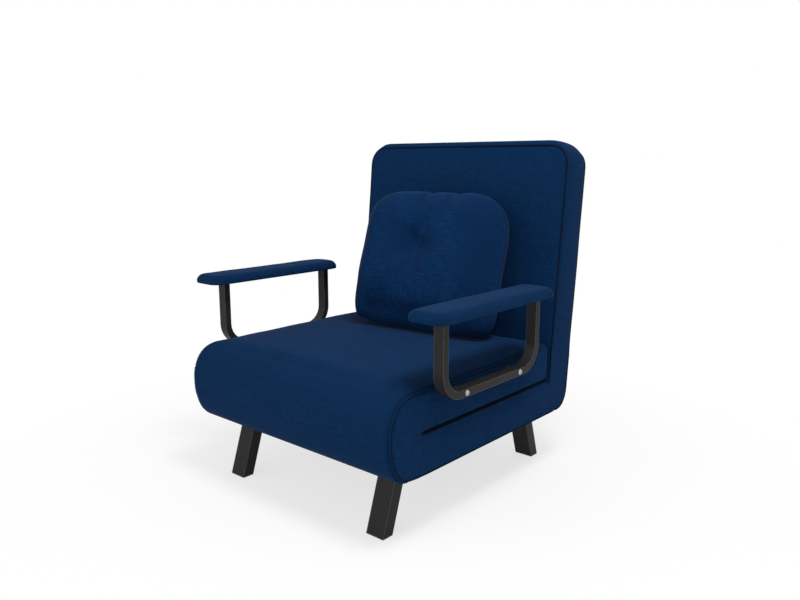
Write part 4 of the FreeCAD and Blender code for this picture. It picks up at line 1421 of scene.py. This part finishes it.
def rounded_plan(width: float, length: float, radius: float, counts: tuple[int, int],
                 turn_points: int = 6) -> Section:
    """Draw a rounded rectangle about the origin whose runs meet at the middles of its corners.

    Args:
        width: Its size along x.
        length: Its size along y.
        radius: Its corners' radius.
        counts: Points on the runs along x and along y.
        turn_points: Points on each half of a corner, before they are spaced evenly.

    Returns:
        The rectangle's four runs.
    """
    w, d = width / 2 - radius, length / 2 - radius
    corners = [(-w, -d), (w, -d), (w, d), (-w, d), (-w, -d)]
    runs = []
    for k in range(4):
        turn = 270.0 + 90.0 * k
        run = arcs((corners[k], radius, turn - 45.0, turn, turn_points),
                   (corners[k + 1], radius, turn, turn + 45.0, turn_points))
        runs.append(evenly(run, counts[k % 2]))
    return Section(*runs)


@dataclass
class ArmPad:
    """One arm's padded top: a flat stapled underside and a soft bull-nosed edge."""

    side: str
    corner: float = 28.0
    under_edge: float = 3.0
    nose: float = 13.0
    nose_reach: float = 1.35
    crown: float = 2.5
    crown_band: Pair = (-6.0, 0.0)
    fill: float = 0.9
    under_turns: tuple[float, ...] = (90.0, 60.0, 30.0, 0.0)
    nose_turns: tuple[float, ...] = (0.0, 18.0, 36.0, 54.0, 72.0, 90.0)
    wall_rings: int = 4
    lump: Pair = (55.0, 0.7)
    plan_points: tuple[int, int] = (13, 52)

    def __post_init__(self) -> None:
        """Take the pad's place from the frame."""
        self.low, self.high = box_mm("arm_pad_" + self.side)
        self.middle = (self.low + self.high) / 2

    def build(self) -> bpy.types.Object:
        """Build and dress the pad.

        Returns:
            The pad.
        """
        low, high, under, nose = self.low[2], self.high[2], self.under_edge, self.nose
        size = self.high - self.low
        plan = rounded_plan(size[0], size[1], self.corner, self.plan_points)
        levels = [(low + under * (1.0 - math.sin(a)), under * (1.0 - math.cos(a)))
                  for a in np.radians(self.under_turns)]
        levels += [(z, 0.0) for z in np.linspace(low + under, high - nose, self.wall_rings)[1:-1]]
        levels += [(high - nose * (1.0 - math.sin(a)), nose * self.nose_reach * (1.0 - math.cos(a)))
                   for a in np.radians(self.nose_turns)]
        rings = [np.insert(plan.drawn_in(d) + self.middle[:2], 2, z, 1) for z, d in levels]
        pad = loft("arm_pad_cover_" + self.side, rings, plan.counts(), Finish.CUSHION)
        put(pad, self.crowned(places(pad.data)))
        refined(pad)
        dressed(pad, Body.SEAT, Slot.CUSHION, self.fill, "arm_pad_" + self.side)
        return pad

    def crowned(self, points: Points) -> Points:
        """Crown the top and make it a little uneven.

        Args:
            points: The pad's places.

        Returns:
            The new places.
        """
        moved = points.copy()
        across = domed((points[:, 0] - self.middle[0]) / (self.high[0] - self.middle[0]))
        top = eased(points[:, 2], self.high[2], self.crown_band)
        moved[:, 2] += (self.crown * across + uneven(points, *self.lump)) * top
        return moved


@dataclass
class LoosePillow:
    """The loose pillow: plump, rounded at its corners, sewn through at one tuft, pleated on its top edge."""

    pivot: Recline
    width: float = 396.0
    height: float = 354.0
    thickness: float = 138.0
    crown: float = 8.0
    corner: float = 96.0
    plan_points: tuple[int, int] = (40, 33)
    levels: int = 13
    rim_depth: float = 66.0
    fullness: float = 0.86
    fill: float = 0.75
    most: float = 5.0
    evening: int = 24
    place: Pair = (20.0, 76.0)
    lean_deg: float = 17.0
    turn_deg: float = 5.0
    tuft: Pair = (-12.0, 206.0)
    tuft_depth: float = 38.0
    tuft_reach: float = 44.0
    tuft_power: float = 1.3
    tuft_hold: Pair = (8.0, 22.0)
    rear_dip: float = 0.6
    fold_depth: float = 2.8
    fold_count: float = 5.0
    fold_turn: float = 0.6
    fold_ring: Pair = (52.0, 34.0)
    pleats: Pair = (-14.0, 64.0)
    pleat_depth: float = 7.0
    pleat_width: float = 9.0
    pleat_band: Pair = (-100.0, -8.0)
    pleat_face: float = 0.6
    pleat_hold: Pair = (4.0, 12.0)
    pleat_sewn: Pair = (-30.0, -8.0)
    lump: Pair = (92.0, 4.5)
    belly: float = 8.0
    belly_height: float = 0.4
    belly_reach: float = 80.0
    tuck: float = 24.0
    slump: float = 20.0
    slump_height: float = 110.0
    slump_band: Pair = (-110.0, -10.0)
    slump_drop: float = 0.9
    slump_lift: float = 30.0
    drop_anchor: Place = (0.02, 0.12, -0.151)
    drop_keep: float = 0.8

    def build(self) -> bpy.types.Object:
        """Build, fill and dress the pillow.

        Returns:
            The pillow.
        """
        cover = self.form()
        stuffed(cover, self.sewn(places(cover.data)), self.most, pressure=4.0, slack=0.012)
        relaxed(cover, self.evening)
        put(cover, self.placed(self.tufted(places(cover.data))))
        refined(cover)
        dressed(cover, Body.PILLOW, Slot.PILLOW, self.fill, "pillow")
        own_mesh(cover)
        return cover

    def form(self) -> bpy.types.Object:
        """Build the upright cover about the middle of its foot, with both faces crowned.

        Returns:
            The cover before it is filled.
        """
        plan = rounded_plan(self.width, self.height, self.corner, self.plan_points)
        rings = []
        for turn in np.radians(np.linspace(-90.0, 90.0, self.levels)):
            level = math.copysign(abs(math.sin(turn)) ** self.fullness, turn) * self.thickness / 2
            inset = self.rim_depth * (1.0 - max(math.cos(turn), 0.0) ** self.fullness)
            rings.append(np.insert(plan.drawn_in(inset) + (0.0, self.height / 2), 1, level, 1))
        cover = loft("loose_pillow_cover", rings, plan.counts(), Finish.PILLOW)
        points = places(cover.data)
        x, t, h = points.T.copy()
        across = domed(2.0 * x / self.width) * domed(2.0 * h / self.height - 1.0)
        points[:, 1] += np.sign(t) * self.faces(t) * self.crown * across
        put(cover, points)
        return cover

    def faces(self, depth: Points) -> Points:
        """Return how much each place belongs to the front or the rear face."""
        return np.clip(np.abs(depth) / (self.thickness / 2), 0.0, 1.0) ** 2

    def tufted(self, points: Points) -> Points:
        """Sew the tuft and its folds, pleat the top edge, let the belly swell and the foot slump.

        Args:
            points: Upright places as x, depth and height.

        Returns:
            The new places.
        """
        x, t, h = points.T
        moved = points.copy()
        away = np.hypot(x - self.tuft[0], h - self.tuft[1])
        angle = np.arctan2(h - self.tuft[1], x - self.tuft[0])
        dip = self.tuft_depth * np.exp(-(away / self.tuft_reach) ** self.tuft_power)
        folds = self.fold_depth * np.cos(self.fold_count * angle + self.fold_turn)
        folds *= np.exp(-((away - self.fold_ring[0]) / self.fold_ring[1]) ** 2)
        waist = self.height * self.belly_height
        belly = self.tuck * (1.0 - smooth(h, 0.0, waist))
        belly -= self.belly * np.exp(-((h - waist) / self.belly_reach) ** 2)
        inward = np.where(t < 0.0, dip + folds + belly, -dip * self.rear_dip) + uneven(points, *self.lump)
        for middle in self.pleats:
            pleat = self.pleat_depth * np.exp(-((x - middle) / self.pleat_width) ** 2)
            pleat *= eased(h, self.height, self.pleat_band)
            moved[:, 2] -= pleat
            inward -= np.sign(t) * self.pleat_face * pleat
        moved[:, 1] += inward * self.faces(t)
        corner = eased(np.abs(x), self.width / 2, self.slump_band)
        slump = self.slump * corner * (1.0 - smooth(h, 0.0, self.slump_height))
        moved[:, 0] += np.sign(x) * slump
        moved[:, 2] -= self.slump_drop * slump * smooth(h, 0.0, self.slump_lift)
        return moved

    def sewn(self, points: Points) -> Points:
        """Find how firmly the tuft and the pleats are held.

        Args:
            points: Upright places as x, depth and height.

        Returns:
            A hold from 0 to 1 for each.
        """
        x, _, h = points.T
        held = 1.0 - smooth(np.hypot(x - self.tuft[0], h - self.tuft[1]), *self.tuft_hold)
        top = eased(h, self.height, self.pleat_sewn)
        for middle in self.pleats:
            held = np.maximum(held, top * (1.0 - smooth(np.abs(x - middle), *self.pleat_hold)))
        return held

    def placed(self, points: Points) -> Points:
        """Lean and turn the pillow into the chair, down to where its frame node rests.

        Args:
            points: Upright places as x, depth and height.

        Returns:
            The places in the chair.
        """
        turn = math.radians(self.turn_deg)
        x, y, z = leaned(points, math.radians(self.lean_deg)).T
        rest = box_mm("pillow")[0][2] - z.min()
        return np.stack([self.place[0] + x * math.cos(turn) - y * math.sin(turn),
                         self.place[1] + x * math.sin(turn) + y * math.cos(turn), rest + z], 1)


@dataclass
class SideSeams:
    """The seams that join wrap and side panels, their top stitching, the base's foot piping, and a dark cord
    along the base's lid in the slit as painted shade.
    """

    nose: FrontNose
    seat: SeatCushion
    cord: float = 1.3
    foot_cord: float = 1.9
    sink: float = 0.2
    onto_side: float = 6.5
    onto_foot: float = 2.2
    foot_start: Pair = (30.0, 120.0)
    foot_end: float = 243.0
    outside: float = 6.0
    panel_middle: float = -150.0
    lid_lift: float = 1.0
    lid_start: float = 5.0
    lid_end: float = 2.0
    seat_end: float = 20.0
    stitch_inset: float = 2.0
    stitch_lift: float = 0.1
    thread: float = 0.8
    pitch: float = 5.0
    stitch: float = 4.3
    arch: tuple[float, ...] = (-0.9, 0.35, 0.7, 0.35, -0.9)
    foot_points: int = 60
    lid_points: int = 50
    seat_points: int = 150
    band_points: int = 30

    def on_panel(self, run: Points, sign: float) -> Points:
        """Draw a profile run onto one side panel, less far along the base's foot.

        Args:
            run: The profile's points as y and z.
            sign: The side, 1 or -1.

        Returns:
            Points just outside that panel.
        """
        inward = left_of(ways(run))
        to_middle = np.array((self.panel_middle, self.nose.axis_z)) - run
        inward *= np.sign(np.sum(inward * to_middle, 1))[:, None]
        foot = eased(run[:, 0], self.nose.tip, self.foot_start) * (run[:, 1] < self.nose.axis_z)
        onto = self.onto_side + (self.onto_foot - self.onto_side) * foot
        return at_x(sign * (self.seat.half + self.outside), run + inward * onto[:, None])

    def stitched(self, name: str, path: Points, out: Points) -> bpy.types.Object:
        """Lay a row of separate stitches along a path.

        Args:
            name: The piece's name.
            path: Points on the cloth in millimetres.
            out: The way out of the cloth at each point.

        Returns:
            One object with every stitch.
        """
        reach = lengths(path)
        count = round(reach[-1] / self.pitch)
        rings, faces = [], []
        for middle in (np.arange(count) + 0.5) * reach[-1] / count:
            ends = np.linspace(middle - self.stitch / 2, middle + self.stitch / 2, len(self.arch))
            spine = between(ends, reach, path)
            normal = between(np.array([middle]), reach, out)[0]
            normal /= np.linalg.norm(normal)
            way = (spine[-1] - spine[0]) / np.linalg.norm(spine[-1] - spine[0])
            side = np.cross(normal, way)
            faces += capped(len(rings) * THREAD_SIDES, len(self.arch), THREAD_SIDES)
            rings += [hoop(spot + normal * lift * self.thread, self.thread, side, normal, THREAD_SIDES)
                      for spot, lift in zip(spine, self.arch)]
        return new_object(name, np.concatenate(rings), faces, Finish.THREAD.material())

    def build(self, seat_cover: bpy.types.Object, base_cover: bpy.types.Object,
              band: bpy.types.Object) -> list[bpy.types.Object]:
        """Lay the seams, the pipings and the slit's dark cord of painted shade on the finished covers.

        Args:
            seat_cover: The seat's cover.
            base_cover: The base's cover.
            band: The front band.

        Returns:
            Every seam, stitching and piping, and the slit's cord of painted shade.
        """
        nose, seat = self.nose, self.seat
        lower = nose.lower(nose.band_low)
        foot_run = np.linspace(lower[-1], (self.foot_end, nose.low), self.foot_points)
        lid = box_mm("base_pad")[1][2] + self.lid_lift
        lid_run = np.linspace((nose.slit_y, lid), (seat.rear - self.lid_end, lid), self.lid_points)
        lid_run = np.concatenate([[(nose.slit_y - self.lid_start, seat.meeting_z)], lid_run])
        top_run = np.concatenate([nose.upper(nose.band_high), [(seat.rear - self.seat_end, seat.top)]])
        z = np.linspace(nose.band_low, nose.band_high, self.band_points)
        runs = (("seat", seat_cover, evenly(top_run, self.seat_points)), ("base", base_cover, lower),
                ("band", band, np.stack([nose.at(z), z], 1)))
        made = []
        for side, sign in SIDES:
            # The lid's cord is a dark cord in the slit along the base's edge: painted shade for the slit,
            # which is only in shadow
            for name, run in (("base_foot_piping_", self.on_panel(foot_run, sign)),
                              ("base_slit_shade_cord_", at_x(sign * (seat.half + self.lid_lift), lid_run))):
                path, _ = laid_on(base_cover, run, -self.sink)
                made.append(("base", tube(name + side, path, self.foot_cord, Finish.PIPING)))
            for place, cover, run in runs:
                path, _ = laid_on(cover, self.on_panel(run, sign), -self.sink)
                made.append((place, tube(f"{place}_seam_{side}", path, self.cord, Finish.PIPING)))
                row = at_x(sign * (seat.half - self.stitch_inset), run)
                path, out = laid_on(cover, row, self.stitch_lift)
                made.append((place, self.stitched(f"{place}_stitching_{side}", path, out)))
        for place, piece in made:
            if place == "band":
                nose.folded(piece)
            else:
                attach(piece, Body.SEAT.value if place == "seat" else Body.BASE.value)
        return [piece for _, piece in made]


class Hardware:
    """The steel, straps, boards and glides that keep their frame shapes and get their finishes here."""

    PLAN: ClassVar[dict[Finish, tuple[str, ...]]] = {
        Finish.COAT: ("base_frame", "seat_frame", "back_frame", "leg_front_left", "leg_front_right",
                      "leg_rear_left", "leg_rear_right", "arm_frame_left", "arm_frame_right", "arm_spacers"),
        Finish.BOLT: ("arm_bolts",),
        Finish.ZINC: ("leg_bolts", "front_hinge_base_leaves", "front_hinge_seat_leaves", "front_hinge_pins",
                      "recline_bracket_left", "recline_bracket_right", "recline_pins", "ratchet_hubs",
                      "ratchet_discs", "arm_nuts", "arm_pad_screws"),
        Finish.STRAP: ("base_webbing", "seat_webbing", "back_webbing"),
        Finish.SHEET: ("base_dust_cover",),
        Finish.NYLON: ("leg_glides",),
        Finish.BOARD: ("arm_board_left", "arm_board_right"),
    }

    def dress(self, nodes: dict[str, bpy.types.Object]) -> None:
        """Give each frame node its finish.

        Args:
            nodes: The frame's objects by node name.
        """
        for finish, names in self.PLAN.items():
            for name in names:
                for slot in nodes[name].material_slots:
                    slot.material = finish.material()
            LOG.info("%s: %s", finish.value.name, ", ".join(names))


# Camera, light and floor


def aimed(name: str, data: bpy.types.ID, place: Vector, target: Vector) -> bpy.types.Object:
    """Set up a lamp or camera.

    Args:
        name: Its name.
        data: Its lamp or camera data.
        place: Where it stands, in metres.
        target: What it points at, in metres.

    Returns:
        The new object, linked to the scene.
    """
    obj = bpy.data.objects.new(name, data)
    obj.location = place
    obj.rotation_euler = (target - place).to_track_quat("-Z", "Y").to_euler()
    bpy.context.scene.collection.objects.link(obj)
    return obj


@dataclass(frozen=True)
class Softbox:
    """A square lamp that faces the chair, with its place and size in metres."""

    name: str
    place: Place
    size: float
    watts: float
    target: Place = (0.0, 0.0, 0.4)

    def hang(self) -> None:
        """Hang the lamp."""
        data = bpy.data.lights.new(self.name, "AREA")
        data.size = self.size
        data.energy = self.watts
        aimed(self.name, data, Vector(self.place), Vector(self.target))


@dataclass
class Studio:
    """The camera at the photograph's viewing angle, the lamps, the world and the floor."""

    target: Place = (36.1, -13.25, 424.0)
    azimuth: float = 41.0
    elevation: float = 10.57
    distance: float = 1754.8
    focal_px: float = 732.0
    image_px: float = 800.0
    sensor_mm: float = 36.0
    clip_end: float = 60.0
    lamps: tuple[Softbox, ...] = (Softbox("softbox_top", (1.1, -0.4, 2.9), 0.8, 53.0),
                                  Softbox("softbox_front", (-1.4, -2.8, 1.3), 2.4, 21.0),
                                  Softbox("softbox_side", (2.8, -0.6, 1.2), 2.2, 4.0),
                                  Softbox("softbox_fill", (0.6, -2.3, 1.1), 0.5, 6.0))
    room_light: float = 0.5
    floor_reach: float = 30000.0
    glow_start: float = 0.35
    glow_end: float = 1.15
    glow_near: float = 0.7

    def build(self) -> None:
        """Set up everything around the chair."""
        scene = bpy.context.scene
        scene.view_settings.view_transform = "Standard"
        a, e = math.radians(self.azimuth), math.radians(self.elevation)
        away = Vector((math.sin(a) * math.cos(e), -math.cos(a) * math.cos(e), math.sin(e)))
        lens = bpy.data.cameras.new("photo_camera")
        lens.sensor_width = self.sensor_mm
        lens.lens = self.focal_px / self.image_px * self.sensor_mm
        lens.clip_end = self.clip_end
        target = Vector(self.target) * MM
        scene.camera = aimed("photo_camera", lens, target + away * self.distance * MM, target)
        for lamp in self.lamps:
            lamp.hang()
        self.world()
        self.floor()

    def seen_directly(self, tree: bpy.types.NodeTree) -> bpy.types.NodeSocket:
        """Tell rays that show the background itself from those that only light the chair.

        Args:
            tree: The tree that gets the nodes.

        Returns:
            A factor that is one for camera, glossy and transmission rays.
        """
        path = add_node(tree, "LightPath").outputs
        seen = path["Is Camera Ray"]
        for kind in ("Is Glossy Ray", "Is Transmission Ray"):
            seen = add_node(tree, "Math", {0: seen, 1: path[kind]}, operation="MAXIMUM").outputs[0]
        return seen

    def world(self) -> None:
        """Give the room a soft light and a white background."""
        world = bpy.data.worlds.new("white_room")
        world.use_nodes = True
        bpy.context.scene.world = world
        tree = world.node_tree
        tree.nodes.clear()
        soft = add_node(tree, "Background", {"Color": to_linear("#f4f6fa"), "Strength": self.room_light})
        white = add_node(tree, "Background", {"Color": to_linear("#ffffff"), "Strength": 1.0})
        both = add_node(tree, "MixShader", {0: self.seen_directly(tree), 1: soft.outputs[0],
                                            2: white.outputs[0]})
        add_node(tree, "OutputWorld", {"Surface": both.outputs[0]})

    def floor(self) -> None:
        """Lay a matt painted floor that keeps a soft shadow near the chair, plain white further out."""
        material, tree, shader = new_material("matt_white_painted_board")
        connect(tree, shader, {"Base Color": to_linear("#f4f4f4"), "Roughness": 0.9})
        coords = add_node(tree, "TexCoord")
        away = add_node(tree, "VectorMath", {0: coords.outputs["Object"]}, operation="LENGTH")
        far = add_node(tree, "MapRange", {"Value": away.outputs["Value"], "From Min": self.glow_start,
                                          "From Max": self.glow_end, "To Min": self.glow_near, "To Max": 1.0},
                       interpolation_type="SMOOTHSTEP")
        share = add_node(tree, "Math", {0: self.seen_directly(tree), 1: far.outputs[0]}, operation="MULTIPLY")
        glow = add_node(tree, "Emission", {"Color": to_linear("#ffffff"), "Strength": 1.0})
        both = add_node(tree, "MixShader", {0: share.outputs[0], 1: shader.outputs[0], 2: glow.outputs[0]})
        connect(tree, tree.nodes["Material Output"], {"Surface": both.outputs[0]})
        r = self.floor_reach
        corners = np.array([(-r, -r, 0.0), (r, -r, 0.0), (r, r, 0.0), (-r, r, 0.0)])
        new_object("floor", corners, [(0, 1, 2, 3)], material)


def main() -> None:
    """Dress the frame piece by piece."""
    logging.basicConfig(level=logging.INFO, format="%(message)s")
    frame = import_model()
    Hardware().dress(frame["nodes"])
    nose = FrontNose()
    pivot = Recline()
    seat = SeatCushion(nose)
    made = [seat.build(), BaseCushion(nose, pivot).build(), FrontBand(nose, seat).build()]
    made += SideSeams(nose, seat).build(*made)
    back = BackCushion(pivot)
    made.append(back.build())
    made += back.trim(made[-1])
    made += [ArmPad(side).build() for side, _ in SIDES]
    made.append(LoosePillow(pivot).build())
    for piece in made:
        LOG.info("piece: %s", piece.name)
    Studio().build()


if __name__ == "__main__":
    main()
